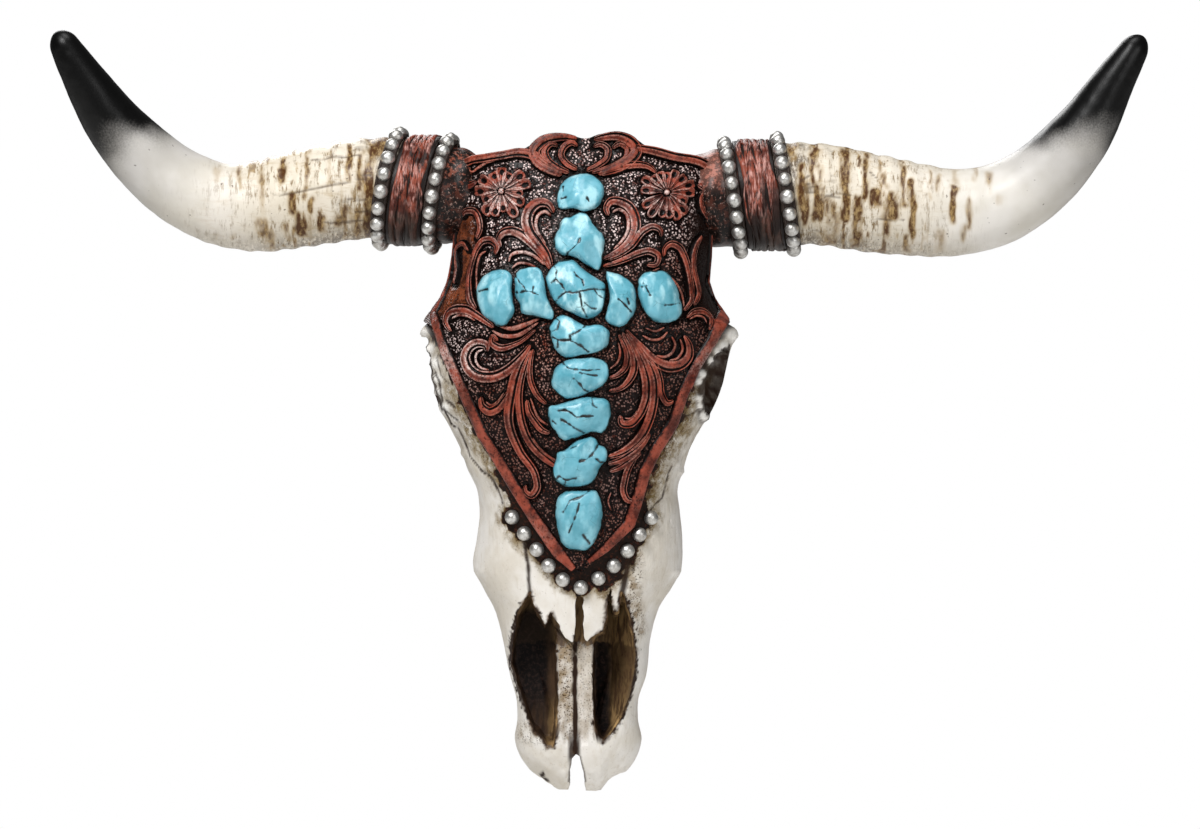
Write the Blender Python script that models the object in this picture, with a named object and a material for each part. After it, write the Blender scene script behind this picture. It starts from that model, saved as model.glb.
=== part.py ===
"""A longhorn steer skull wall ornament of cast resin, about 0.51 m from horn tip to horn tip.

The frame: +X to the viewer's right, -Y out of the wall towards the viewer, +Z up. The origin lies on the
flat back that rests on the wall, on the centre line, level with the brow corners. Tables are in
millimetres; MM turns them into metres. Touching pieces keep GAP of air between them.
"""

import math

import bmesh
import bpy
import numpy as np
from mathutils import Matrix, Vector

MM = 0.001
GAP = 0.3
# Cutters reach this far in front of the whole ornament, and this far behind its back.
FRONT_CLEAR, BACK_CLEAR = -120.0, 10.0
SHARP_ANGLE = math.radians(35)

# The skull as cross-sections from the muzzle up to the poll: height, sideways shift of the section,
# half width, depth of the middle from the wall, depth of the widest line, half width of the flat back,
# and squareness of the front (2 is an ellipse).
SKULL_SECTIONS = [
    (-213.5, 0.4, 10.5, 21.0, 11.0, 7.0, 2.2),
    (-209.5, 0.4, 16.5, 26.5, 12.0, 12.0, 2.3),
    (-205.0, 0.0, 22.5, 31.0, 13.0, 17.0, 2.4),
    (-200.0, -0.2, 26.8, 34.5, 14.0, 20.0, 2.5),
    (-193.0, -0.4, 29.6, 38.0, 15.0, 22.0, 2.5),
    (-182.0, -0.8, 28.4, 43.0, 17.0, 21.0, 2.5),
    (-172.0, -0.9, 29.0, 46.5, 18.0, 22.0, 2.5),
    (-162.0, -0.6, 31.9, 50.0, 19.0, 24.0, 2.5),
    (-144.0, -1.2, 34.8, 56.0, 20.0, 26.0, 2.5),
    (-130.0, -1.2, 38.5, 59.5, 21.0, 28.0, 2.5),
    (-121.0, -0.9, 43.9, 61.5, 22.0, 30.0, 2.5),
    (-111.0, -0.8, 48.6, 63.5, 22.0, 32.0, 2.5),
    (-98.0, 0.2, 48.3, 66.5, 23.0, 33.0, 2.5),
    (-84.0, 0.2, 46.8, 69.0, 24.0, 33.0, 2.5),
    (-74.0, -0.8, 47.2, 71.0, 24.0, 34.0, 2.6),
    (-65.0, -1.6, 50.4, 73.0, 25.0, 36.0, 2.6),
    (-55.0, -1.7, 53.8, 74.5, 25.0, 39.0, 2.6),
    (-46.0, -1.6, 58.6, 76.0, 25.0, 42.0, 2.6),
    (-37.0, -1.5, 63.6, 77.5, 26.0, 44.0, 2.6),
    (-27.0, -0.8, 67.5, 78.5, 26.0, 46.0, 2.6),
    (-18.0, -0.6, 69.4, 79.0, 26.0, 47.0, 2.6),
    (-10.0, 0.2, 70.4, 79.5, 27.0, 47.0, 2.6),
    (-4.0, 0.8, 71.8, 79.5, 27.0, 47.0, 2.6),
    (0.5, -0.2, 73.2, 79.5, 28.0, 47.0, 2.6),
    (5.0, -1.4, 68.2, 79.0, 28.0, 46.0, 2.6),
    (12.0, -1.9, 62.4, 78.5, 29.0, 46.0, 2.7),
    (20.0, -0.8, 58.0, 77.5, 30.0, 46.0, 2.8),
    (36.0, 1.4, 56.6, 74.0, 30.0, 46.0, 2.8),
    (58.0, 2.5, 57.4, 67.0, 30.0, 47.0, 2.9),
    (71.0, 2.8, 56.8, 61.0, 29.0, 46.0, 2.9),
    (78.0, 2.8, 54.0, 55.5, 28.0, 42.0, 2.8),
    (81.5, 2.8, 46.0, 51.5, 27.0, 36.0, 2.7),
    (84.0, 2.8, 34.0, 46.5, 27.0, 26.0, 2.5),
]
FRONT_STEPS, SIDE_STEPS = 9, 4

# Each eye socket is an egg-shaped hollow: its middle and its half sizes.
SOCKET_RIGHT = ((66.5, -45.5, -24.0), (13.0, 16.5, 17.0))
SOCKET_LEFT = ((-73.0, -41.0, -23.0), (12.0, 16.0, 16.5))

# The nose, as outlines seen from the front. The aperture is cut as far back as the two bars between the
# nostrils, and each nostril deeper.
APERTURE = [
    (-27.0, -126.0), (-17.0, -137.0), (-13.5, -132.5), (-2.5, -145.5), (2.3, -144.8), (6.5, -141.5),
    (11.7, -140.5), (13.0, -133.0), (20.5, -126.0), (26.5, -145.0), (25.0, -170.0), (12.0, -192.0),
    (2.0, -197.0), (-13.6, -195.5), (-22.0, -184.0), (-31.0, -156.0), (-30.5, -140.0),
]
NOSTRIL_RIGHT = [
    (20.5, -124.5), (26.0, -140.0), (26.0, -157.0), (21.5, -181.0), (12.8, -193.0),
    (8.6, -185.0), (6.3, -165.0), (6.2, -146.0), (12.5, -141.0), (14.5, -131.5),
]
NOSTRIL_LEFT = [
    (-23.0, -123.5), (-17.5, -136.0), (-12.5, -138.0), (-10.0, -147.0), (-12.0, -172.0),
    (-13.6, -195.5), (-23.0, -184.0), (-31.2, -157.0), (-30.7, -143.0), (-27.0, -130.0),
]
APERTURE_DEPTHS = (51.0, 37.0)
NOSTRIL_DEPTHS = (26.0, 22.0)
NOSE_TOP, NOSE_END = -123.0, -197.0
NOTCH = [(-2.6, -196.5), (-1.0, -196.5), (0.2, -203.0), (4.4, -217.0), (-5.2, -217.0), (-3.6, -203.0)]
NASAL_GAP = [(-0.5, -121.0), (0.5, -121.0), (2.4, -147.0), (-2.4, -147.0)]
NASAL_GAP_FLOOR = 49.0

# The horns from root to tip: x, y, z of the middle and the radius there.
HORN_LEFT = [
    (-44.0, -31.0, 61.0, 18.0), (-55.5, -33.0, 62.6, 22.2), (-66.0, -33.5, 64.2, 23.2),
    (-99.7, -34.5, 66.3, 23.5), (-132.8, -36.0, 60.8, 22.4), (-149.3, -37.0, 58.0, 21.2),
    (-166.4, -38.5, 58.7, 19.2), (-182.0, -40.5, 64.8, 17.9), (-212.0, -47.5, 90.4, 14.5),
    (-234.0, -55.5, 123.0, 8.8), (-239.6, -57.5, 132.6, 6.2), (-241.4, -58.1, 136.0, 4.2),
    (-242.4, -58.4, 137.8, 1.6),
]
HORN_RIGHT = [
    (49.0, -31.0, 59.5, 18.0), (60.5, -33.0, 61.0, 22.2), (72.0, -33.5, 62.2, 23.3),
    (110.6, -34.5, 63.7, 23.7), (143.8, -36.0, 58.4, 22.5), (177.3, -38.5, 55.2, 20.2),
    (194.0, -40.5, 58.4, 19.2), (209.0, -43.5, 66.0, 17.7), (233.0, -50.5, 89.8, 14.6),
    (250.5, -57.0, 118.2, 9.2), (257.0, -58.7, 127.6, 7.2), (260.4, -59.4, 133.6, 4.8),
    (261.5, -59.7, 135.6, 1.8),
]
HORN_SIDES, HORN_RINGS, SLEEVE_RINGS = 18, 24, 8
TIP_CROWDING = 1.5

# The leather wrap round each horn's root, between two rims of metal beads. The rims lean outwards below,
# and turn outwards in front, by these degrees.
WRAP_THICKNESS = 2.7
RIM_THICKNESS = 2.2
RIM_HALF_WIDTH = 3.5
RIM_BEADS = 20
FIRST_BEAD = 0.25
BEAD_RADIUS = 3.35
WRAPS = {
    "left": {"horn": HORN_LEFT, "side": -1, "lean": 10.0, "turn": 8.0, "inner_x": -64.6, "outer_x": -88.3},
    "right": {"horn": HORN_RIGHT, "side": 1, "lean": 8.7, "turn": 0.0, "inner_x": 71.8, "outer_x": 96.5},
}
SLEEVE_FROM, SLEEVE_TO = 0.02, 0.32

# The tooled leather cover over the forehead: its edge seen from the front, in runs between corners.
# Where it wraps round the temples the run stands outside the skull, and the skull's own side shows.
COVER_THICKNESS = 3.0
BORDER_HEIGHT = 1.3
BORDER_WIDTH = 5.0
COVER_BACK = 22.0
POLL_CLEAR = 39.0
POLL_ROOM = [(-80.0, 70.0), (-80.0, 110.0), (80.0, 110.0), (80.0, 70.0)]
COVER_TOP = [
    (-57.0, 79.6), (-40.0, 82.2), (-26.0, 84.4), (-21.0, 87.0), (-12.0, 90.8), (-4.0, 90.6), (2.8, 89.0),
    (9.5, 91.2), (17.0, 92.0), (24.5, 90.2), (30.0, 86.4), (44.0, 82.4), (63.5, 79.6),
]
COVER_RIGHT = [(63.5, 79.6), (70.0, 60.0), (70.0, 16.0), (74.5, 5.0), (70.5, 3.0)]
COVER_RIGHT_LOWER = [
    (70.5, 3.0), (64.5, -3.6), (56.8, -15.5), (50.6, -29.0), (46.0, -42.4), (38.4, -54.2),
    (32.8, -65.2), (30.2, -75.5), (26.0, -88.8), (13.6, -101.7), (1.5, -113.5),
]
COVER_LEFT_LOWER = [
    (1.5, -113.5), (-12.0, -102.5), (-24.2, -84.8), (-34.5, -68.0), (-40.5, -57.8), (-46.3, -49.0),
    (-51.0, -38.6), (-59.0, -21.0), (-64.8, -8.0), (-70.5, 2.6),
]
COVER_LEFT = [(-70.5, 2.6), (-74.5, 5.0), (-68.0, 16.0), (-68.0, 60.0), (-57.0, 79.6)]
COVER_RUNS = [COVER_TOP, COVER_RIGHT, COVER_RIGHT_LOWER, COVER_LEFT_LOWER, COVER_LEFT]
CREST_FRONT, CREST_BACK, CREST_FOOT = 58.0, 42.0, 74.0
CREST_LEFT, CREST_RIGHT = -28.0, 33.0

# The eleven domed beads under the cover's point, evenly spaced along this line seen from the front.
ROW_LINE = [
    (-30.4, -87.0), (-20.0, -101.0), (-7.5, -115.8), (0.6, -119.6), (9.2, -115.2), (22.5, -102.0), (32.8, -87.3),
]
ROW_BEADS = 11
ROW_BEAD_RADIUS = 3.4
ROW_BEAD_LIFT = 0.35

# The turquoise cross: the outline of each stone seen from the front, top to bottom and then across.
STONES = [
    [
        (0.5, 72.2), (8.2, 70.3), (11.6, 64.1), (9.0, 57.5), (3.6, 54.8), (-6.5, 55.8), (-9.9, 59.4),
        (-8.9, 66.0), (-3.4, 71.1),
    ],
    [
        (0.5, 54.0), (5.5, 50.9), (10.6, 44.3), (11.7, 41.1), (10.2, 29.5), (8.6, 27.4), (-2.2, 33.6),
        (-10.8, 37.3), (-11.6, 40.0), (-8.1, 49.7), (-3.4, 52.3),
    ],
    [
        (-5.7, 32.1), (-2.7, 31.8), (4.8, 25.6), (11.7, 21.0), (12.1, 17.1), (11.0, 9.7), (4.8, 5.0),
        (-2.7, 7.4), (-12.1, 14.0), (-14.9, 24.1), (-10.8, 29.9),
    ],
    [
        (-23.2, 28.6), (-17.7, 27.2), (-14.7, 14.8), (-11.7, 7.4), (-14.3, 4.8), (-26.3, 7.8),
        (-29.6, 17.1), (-28.9, 25.3),
    ],
    [
        (-36.4, 27.6), (-31.7, 25.6), (-31.1, 17.8), (-29.7, 9.3), (-34.5, 1.7), (-39.1, 2.7),
        (-46.1, 10.1), (-47.1, 18.6), (-43.8, 24.8),
    ],
    [
        (13.0, 26.5), (19.9, 24.5), (26.1, 17.8), (26.3, 10.1), (20.6, 2.0), (14.1, 2.7), (12.3, 5.0),
        (14.0, 17.1), (12.7, 24.1),
    ],
    [
        (33.1, 27.0), (40.9, 26.0), (45.1, 19.4), (47.7, 10.1), (45.5, 4.7), (37.0, 3.5), (30.6, 8.2),
        (27.4, 20.2), (30.1, 25.6),
    ],
    [
        (-7.3, 6.6), (-1.5, 3.8), (4.8, 1.7), (11.3, 1.2), (14.1, -4.3), (10.2, -9.7), (4.0, -11.6),
        (-6.5, -12.6), (-11.2, -8.2), (-13.4, -2.3), (-11.6, 3.5),
    ],
    [
        (6.3, -12.9), (12.5, -15.9), (13.3, -22.5), (8.2, -27.6), (2.3, -30.2), (-6.2, -31.7),
        (-11.6, -27.6), (-12.0, -21.0), (-6.2, -14.8),
    ],
    [
        (5.9, -31.2), (13.7, -33.8), (14.3, -41.1), (10.6, -47.7), (3.6, -48.0), (-6.2, -51.3),
        (-11.2, -46.6), (-13.9, -39.6), (-7.3, -34.2),
    ],
    [
        (5.5, -49.6), (9.4, -53.6), (13.0, -57.5), (10.6, -62.5), (7.5, -68.4), (2.8, -72.2),
        (-6.2, -72.4), (-11.6, -67.6), (-10.4, -60.6), (-4.2, -54.0),
    ],
    [
        (-3.4, -74.6), (5.1, -74.6), (9.8, -78.4), (10.6, -87.7), (8.2, -96.3), (2.8, -102.1),
        (-3.4, -101.7), (-8.9, -96.3), (-10.6, -86.2), (-9.2, -77.7),
    ],
]
# A stone's rings from its seat outwards: share of its outline, and height above the leather.
STONE_RINGS = [(0.90, -1.5), (1.0, 2.4), (0.93, 5.2), (0.72, 7.4), (0.36, 8.4)]
STONE_SIDES = 14

# The hanging fitting on the back: a steel keyhole plate let into the resin over a deeper well.
HANGER_Z = 46.0
PLATE_WIDTH, PLATE_HEIGHT, PLATE_THICKNESS = 44.0, 22.0, 1.2
KEYHOLE_RADIUS, KEYHOLE_DROP, SLOT_HALF_WIDTH, SLOT_RISE = 5.5, 3.0, 2.8, 5.5
WELL_WIDTH, WELL_HEIGHT, WELL_DEPTH = 24.0, 19.0, 12.0

BONE = ("bone_paint", (0.80, 0.74, 0.62, 1), 0.55, 0.0)
HORN = ("horn_paint", (0.78, 0.70, 0.58, 1), 0.45, 0.0)
LEATHER = ("leather_paint", (0.28, 0.07, 0.04, 1), 0.45, 0.0)
SILVER = ("silver_paint", (0.55, 0.55, 0.54, 1), 0.35, 0.8)
TURQUOISE = ("turquoise_paint", (0.12, 0.50, 0.58, 1), 0.35, 0.0)
STEEL = ("zinc_plate", (0.55, 0.55, 0.55, 1), 0.35, 1.0)


def clear_scene():
    """Starts from an empty scene with one collection for the parts and one for the cutters."""
    for obj in list(bpy.data.objects):
        bpy.data.objects.remove(obj)
    made = {}
    for name in ("steer_skull_ornament", "cutters"):
        made[name] = bpy.data.collections.new(name)
        bpy.context.scene.collection.children.link(made[name])
    return made["steer_skull_ornament"], made["cutters"]


def paint(obj, finish):
    """Gives an object its painted finish: name, colour, roughness, metallic."""
    name, colour, roughness, metallic = finish
    material = bpy.data.materials.get(name)
    if material is None:
        material = bpy.data.materials.new(name)
        material.use_nodes = True
        shader = material.node_tree.nodes["Principled BSDF"]
        shader.inputs["Base Color"].default_value = colour
        shader.inputs["Roughness"].default_value = roughness
        shader.inputs["Metallic"].default_value = metallic
    obj.data.materials.clear()
    obj.data.materials.append(material)


def new_object(name, bm, collection):
    mesh = bpy.data.meshes.new(name)
    bmesh.ops.recalc_face_normals(bm, faces=bm.faces)
    bm.to_mesh(mesh)
    bm.free()
    obj = bpy.data.objects.new(name, mesh)
    collection.objects.link(obj)
    return smooth(obj)


def smooth(obj):
    """Shades the round faces smooth and keeps the real edges crisp."""
    obj.data.shade_smooth()
    obj.data.set_sharp_from_angle(angle=SHARP_ANGLE)
    return obj


def as_cutter(obj):
    obj.hide_render = True
    obj.display_type = "WIRE"
    return obj


def boolean(obj, operation, other, solver="MANIFOLD"):
    modifier = obj.modifiers.new(f"{operation.lower()} {other.name}", "BOOLEAN")
    modifier.operation = operation
    modifier.solver = solver
    modifier.object = other
    return obj


def settled(obj):
    """Replaces an object's mesh by its evaluated one, so that later cuts can use it as it stands."""
    bpy.context.view_layer.update()
    graph = bpy.context.evaluated_depsgraph_get()
    mesh = bpy.data.meshes.new_from_object(obj.evaluated_get(graph))
    obj.modifiers.clear()
    obj.data = mesh
    return smooth(obj)


def smooth_through(keys, at):
    """A smooth curve through rows of numbers, whose first column says how far along each row lies."""
    keys = np.array(keys, float)
    place, value = keys[:, 0], keys[:, 1:]
    slope = np.gradient(value, place, axis=0)
    at = np.atleast_1d(np.asarray(at, float))
    i = np.clip(np.searchsorted(place, at) - 1, 0, len(place) - 2)
    step = (place[i + 1] - place[i])[:, None]
    t = ((at - place[i])[:, None]) / step
    return (
        value[i] * (1 + 2 * t) * (1 - t) ** 2
        + slope[i] * step * t * (1 - t) ** 2
        + value[i + 1] * t**2 * (3 - 2 * t)
        + slope[i + 1] * step * t**2 * (t - 1)
    )


def smooth_line(points, count):
    """Evenly spaced points along a smooth curve through a few, ends included."""
    points = np.array(points, float)
    along = np.concatenate([[0], np.cumsum(np.linalg.norm(np.diff(points, axis=0), axis=1))])
    fine = smooth_through(np.column_stack([along, points]), np.linspace(0, along[-1], 40 * len(points)))
    length = np.concatenate([[0], np.cumsum(np.linalg.norm(np.diff(fine, axis=0), axis=1))])
    wanted = np.linspace(0, length[-1], count)
    return np.column_stack([np.interp(wanted, length, fine[:, k]) for k in range(points.shape[1])])


def skull_section(row):
    """The closed section at one height, as points round it from the middle of the front."""
    height, shift, half, crown, side, back, square = row
    half_ring = []
    for i in range(FRONT_STEPS + 1):
        turn = math.pi / 2 * i / FRONT_STEPS
        half_ring.append((
            half * math.sin(turn) ** (2 / square),
            -side - (crown - side) * math.cos(turn) ** (2 / square),
        ))
    for i in range(1, SIDE_STEPS + 1):
        turn = math.pi / 2 * i / SIDE_STEPS
        half_ring.append((back + (half - back) * math.cos(turn), -side * (1 - math.sin(turn))))
    right = [Vector((shift + x, y, height)) * MM for x, y in half_ring]
    left = [Vector((shift - x, y, height)) * MM for x, y in half_ring[1:]]
    return right + left[::-1]


def loft(name, rings, collection):
    """One closed skin over a stack of rings that hold the same number of points."""
    bm = bmesh.new()
    rows = [[bm.verts.new(p) for p in ring] for ring in rings]
    for low, high in zip(rows, rows[1:]):
        for i in range(len(low)):
            j = (i + 1) % len(low)
            bm.faces.new((low[i], low[j], high[j], high[i]))
    bm.faces.new(rows[0][::-1])
    bm.faces.new(rows[-1])
    return new_object(name, bm, collection)


def grown(source, by, name, collection):
    """A cutter: the source's mesh with every face moved outwards by the same distance."""
    bm = bmesh.new()
    bm.from_mesh(source.data)
    bm.normal_update()
    moved = [v.co + v.normal * v.calc_shell_factor() * by * MM for v in bm.verts]
    for vertex, place in zip(bm.verts, moved):
        vertex.co = place
    return as_cutter(new_object(name, bm, collection))


def prism(name, outline, y_front, y_back, collection):
    """A flat outline, seen from the front, stood out from y_back to y_front."""
    curve = bpy.data.curves.new(name, "CURVE")
    curve.dimensions = "2D"
    curve.fill_mode = "BOTH"
    curve.extrude = abs(y_back - y_front) / 2 * MM
    spline = curve.splines.new("POLY")
    spline.points.add(len(outline) - 1)
    for point, (x, z) in zip(spline.points, outline):
        point.co = (x * MM, z * MM, 0, 1)
    spline.use_cyclic_u = True
    obj = bpy.data.objects.new(name, curve)
    obj.rotation_euler = (math.pi / 2, 0, 0)
    obj.location = (0, (y_front + y_back) / 2 * MM, 0)
    collection.objects.link(obj)
    return as_mesh(obj, collection)


def as_mesh(curve_object, collection):
    """A curve object's solid as a mesh object of the same name, with its caps welded on."""
    bpy.context.view_layer.update()
    graph = bpy.context.evaluated_depsgraph_get()
    bm = bmesh.new()
    bm.from_mesh(bpy.data.meshes.new_from_object(curve_object.evaluated_get(graph)))
    bm.transform(curve_object.matrix_world)
    bmesh.ops.remove_doubles(bm, verts=bm.verts, dist=0.01 * MM)
    name = curve_object.name
    bpy.data.objects.remove(curve_object)
    return new_object(name, bm, collection)


def horn_tube(name, track, collection, grow=0.0):
    """A round tube through rows of x, y, z and radius, thicker all round by grow."""
    curve = bpy.data.curves.new(name, "CURVE")
    curve.dimensions = "3D"
    curve.bevel_depth = 1.0
    curve.bevel_resolution = HORN_SIDES // 2 - 2
    curve.use_fill_caps = True
    spline = curve.splines.new("POLY")
    spline.points.add(len(track) - 1)
    for point, (x, y, z, radius) in zip(spline.points, track):
        point.co = (x * MM, y * MM, z * MM, 1)
        point.radius = (radius + grow) * MM
    obj = bpy.data.objects.new(name, curve)
    collection.objects.link(obj)
    return as_mesh(obj, collection)


def whole_horn(horn):
    """The horn's rings, crowding together towards the rounded tip."""
    fine = smooth_line(horn, 400)
    share = 1 - (1 - np.linspace(0, 1, HORN_RINGS)) ** TIP_CROWDING
    return fine[np.round(share * (len(fine) - 1)).astype(int)]


def horn_middle(horn, x):
    """Middle and radius of the horn where its axis passes x."""
    track = smooth_line(horn, 400)
    order = np.argsort(track[:, 0])
    y, z, radius = (float(np.interp(x, track[order, 0], track[order, k])) for k in (1, 2, 3))
    return Vector((x, y, z)), radius


def leaning(wrap):
    """The shear that leans a square-cut ring outwards below and turns it outwards in front."""
    shear = Matrix.Identity(4)
    shear[0][1] = -wrap["side"] * math.tan(math.radians(wrap["turn"]))
    shear[0][2] = -wrap["side"] * math.tan(math.radians(wrap["lean"]))
    return shear


def slab(name, wrap, middle, half_width, collection, reach=60.0):
    """A wide leaning slice, used to cut a sleeve to length."""
    bm = bmesh.new()
    bmesh.ops.create_cube(bm, size=2 * MM)
    size = Matrix.Diagonal((half_width, reach, reach, 1))
    bm.transform(Matrix.Translation(middle * MM) @ leaning(wrap) @ size)
    return as_cutter(new_object(name, bm, collection))


def ball(name, middle, radii, collection, segments=16, rings=10):
    """An egg shape from its middle and its three half sizes."""
    bm = bmesh.new()
    bmesh.ops.create_uvsphere(bm, u_segments=segments, v_segments=rings, radius=MM)
    bm.transform(Matrix.Translation(Vector(middle) * MM) @ Matrix.Diagonal((*radii, 1)))
    return new_object(name, bm, collection)


def front_depth(x, z):
    """How far the skull's front stands out of the wall at a place seen from the front."""
    shift, half, crown, side, _, square = smooth_through(SKULL_SECTIONS, z)[0]
    across = min(abs(x - shift) / half, 0.999)
    return side + (crown - side) * (1 - across**square) ** (1 / square)


def front_normal(x, z, reach=2.0):
    slope_x = (front_depth(x + reach, z) - front_depth(x - reach, z)) / (2 * reach)
    slope_z = (front_depth(x, z + reach) - front_depth(x, z - reach)) / (2 * reach)
    return Vector((-slope_x, -1.0, -slope_z)).normalized()


def outline_of(runs, spacing):
    """A closed outline from smooth runs that meet at corners."""
    outline = []
    for run in runs:
        length = sum(math.dist(a, b) for a, b in zip(run, run[1:]))
        outline += [tuple(p) for p in smooth_line(run, max(3, round(length / spacing)))[:-1]]
    return outline


def inset(outline, by):
    """The outline moved inwards by the same distance everywhere; it runs clockwise seen from the front."""
    moved = []
    for i, here in enumerate(outline):
        before, after = Vector(outline[i - 1]), Vector(outline[(i + 1) % len(outline)])
        a = (Vector(here) - before).normalized()
        b = (after - Vector(here)).normalized()
        inward = Vector((a.y + b.y, -a.x - b.x)).normalized()
        stretch = 1 / max(0.6, inward.dot(Vector((a.y, -a.x))))
        moved.append(tuple(Vector(here) + inward * by * stretch))
    return moved


def make_skull(parts, cutters):
    skull = loft("skull", [skull_section(row) for row in SKULL_SECTIONS], parts)
    paint(skull, BONE)
    return skull


def nose_cutter(name, outline, depths, cutters):
    """A hollow from its front outline, with a floor that slopes from depths[0] above to depths[1] below."""
    cutter = prism(name, outline, FRONT_CLEAR, -min(depths), cutters)
    for vertex in cutter.data.vertices:
        if vertex.co.y > 0.5 * (FRONT_CLEAR - min(depths)) * MM:
            share = (vertex.co.z / MM - NOSE_TOP) / (NOSE_END - NOSE_TOP)
            vertex.co.y = -(depths[0] + (depths[1] - depths[0]) * share) * MM
    return as_cutter(cutter)


def cut_skull(skull, horns, cutters):
    """Eye sockets, nose, the split between the nose bones, and sockets for the horn roots."""
    for name, (middle, radii) in (("socket_right", SOCKET_RIGHT), ("socket_left", SOCKET_LEFT)):
        boolean(skull, "DIFFERENCE", as_cutter(ball(name, middle, radii, cutters)))
    boolean(skull, "DIFFERENCE", nose_cutter("aperture", APERTURE, APERTURE_DEPTHS, cutters))
    for name, outline in (("nostril_right", NOSTRIL_RIGHT), ("nostril_left", NOSTRIL_LEFT)):
        boolean(skull, "DIFFERENCE", nose_cutter(name, outline, NOSTRIL_DEPTHS, cutters))
    boolean(skull, "DIFFERENCE", as_cutter(prism("notch", NOTCH, FRONT_CLEAR, BACK_CLEAR, cutters)))
    gap = prism("nasal_gap", NASAL_GAP, FRONT_CLEAR, -NASAL_GAP_FLOOR, cutters)
    boolean(skull, "DIFFERENCE", as_cutter(gap))
    for horn in horns:
        boolean(skull, "DIFFERENCE", grown(horn, GAP, f"{horn.name}_room", cutters))
    return settled(skull)


def make_cover(plain_skull, horns, parts, cutters):
    """The leather cover: a shell over the skull cut to its edge, with a raised border and a crest."""
    outline = outline_of(COVER_RUNS, 6.0)
    cover = grown(plain_skull, GAP + COVER_THICKNESS + BORDER_HEIGHT, "cover", parts)
    cover.hide_render = False
    cover.display_type = "TEXTURED"
    paint(cover, LEATHER)
    boolean(cover, "UNION", crest_block("crest", CREST_FRONT, cutters))
    edge = prism("cover_edge", outline, FRONT_CLEAR, -COVER_BACK, cutters)
    boolean(cover, "INTERSECT", as_cutter(edge))

    field = prism("border_inside", inset(outline, BORDER_WIDTH), FRONT_CLEAR, BACK_CLEAR, cutters)
    boolean(field, "DIFFERENCE", grown(plain_skull, GAP + COVER_THICKNESS, "field", cutters))
    crest_field = crest_block("crest_field", CREST_FRONT - BORDER_HEIGHT, cutters)
    boolean(field, "DIFFERENCE", crest_field)
    boolean(cover, "DIFFERENCE", as_cutter(settled(field)))

    boolean(cover, "DIFFERENCE", grown(plain_skull, GAP, "skull_room", cutters))
    boolean(cover, "DIFFERENCE", as_cutter(prism("poll_room", POLL_ROOM, -POLL_CLEAR, 0.0, cutters)))
    for horn in horns:
        boolean(cover, "DIFFERENCE", bpy.data.objects[f"{horn.name}_room"])
    return settled(cover)


def crest_block(name, front, cutters):
    """The stretch of leather that stands above the poll, before it is cut to the cover's edge."""
    block = [(CREST_LEFT, CREST_FOOT), (CREST_LEFT, 99.0), (CREST_RIGHT, 99.0), (CREST_RIGHT, CREST_FOOT)]
    return as_cutter(prism(name, block, -front, -CREST_BACK, cutters))


def make_sleeve(name, wrap, thickness, middle, half_width, parts, cutters):
    """A band round the horn, cut to its leaning rim; the room for the horn is bored later."""
    fine = smooth_line(wrap["horn"], 400)
    first, last = (round(share * len(fine)) for share in (SLEEVE_FROM, SLEEVE_TO))
    track = smooth_line(fine[first:last], SLEEVE_RINGS)
    sleeve = horn_tube(name, track, parts, grow=thickness)
    return boolean(sleeve, "INTERSECT", slab(f"{name}_length", wrap, middle, half_width, cutters))


def make_rim(name, wrap, x, parts, cutters):
    """A rim band with domed metal beads all round, joined into one body."""
    middle, radius = horn_middle(wrap["horn"], x)
    rim = make_sleeve(name, wrap, RIM_THICKNESS, middle, RIM_HALF_WIDTH, parts, cutters)
    beads = bpy.data.collections.new(f"{name}_beads")
    for i in range(RIM_BEADS):
        turn = 2 * math.pi * (i + FIRST_BEAD) / RIM_BEADS
        round_it = Vector((0, -math.sin(turn), math.cos(turn))) * (radius + RIM_THICKNESS)
        place = middle + leaning(wrap).to_3x3() @ round_it
        ball(f"{name}_bead", place, (BEAD_RADIUS,) * 3, beads, segments=8, rings=5)
    joined = rim.modifiers.new("beads", "BOOLEAN")
    joined.operation = "UNION"
    joined.solver = "EXACT"
    joined.operand_type = "COLLECTION"
    joined.collection = beads
    settled(rim)
    for bead in list(beads.objects):
        bpy.data.objects.remove(bead)
    bpy.data.collections.remove(beads)
    paint(rim, SILVER)
    return rim


def make_wrap(side_name, wrap, parts, cutters):
    """The leather lashing and its two bead rims on one horn."""
    inner, _ = horn_middle(wrap["horn"], wrap["inner_x"])
    outer, _ = horn_middle(wrap["horn"], wrap["outer_x"])
    rims = [
        make_rim(f"rim_{side_name}_inner", wrap, wrap["inner_x"], parts, cutters),
        make_rim(f"rim_{side_name}_outer", wrap, wrap["outer_x"], parts, cutters),
    ]
    half_width = abs(wrap["outer_x"] - wrap["inner_x"]) / 2 - RIM_HALF_WIDTH - GAP
    middle = (inner + outer) / 2
    lashing = make_sleeve(f"wrap_{side_name}", wrap, WRAP_THICKNESS, middle, half_width, parts, cutters)
    paint(lashing, LEATHER)
    room = bpy.data.objects[f"horn_{side_name}_room"]
    for piece in (lashing, *rims):
        settled(boolean(piece, "DIFFERENCE", room))


def pebble(name, outline, parts):
    """A tumbled stone with this outline seen from the front, following the curve of the face under it."""
    edge = smooth_line(outline + outline[:1], STONE_SIDES + 1)[:-1]
    middle = edge.mean(axis=0)
    rings = []
    for share, height in STONE_RINGS:
        places = middle + (edge - middle) * share
        rings.append([
            Vector((x, -front_depth(x, z) - GAP - COVER_THICKNESS - height, z)) * MM for x, z in places
        ])
    stone = loft(name, rings, parts)
    paint(stone, TURQUOISE)
    return stone


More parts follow.
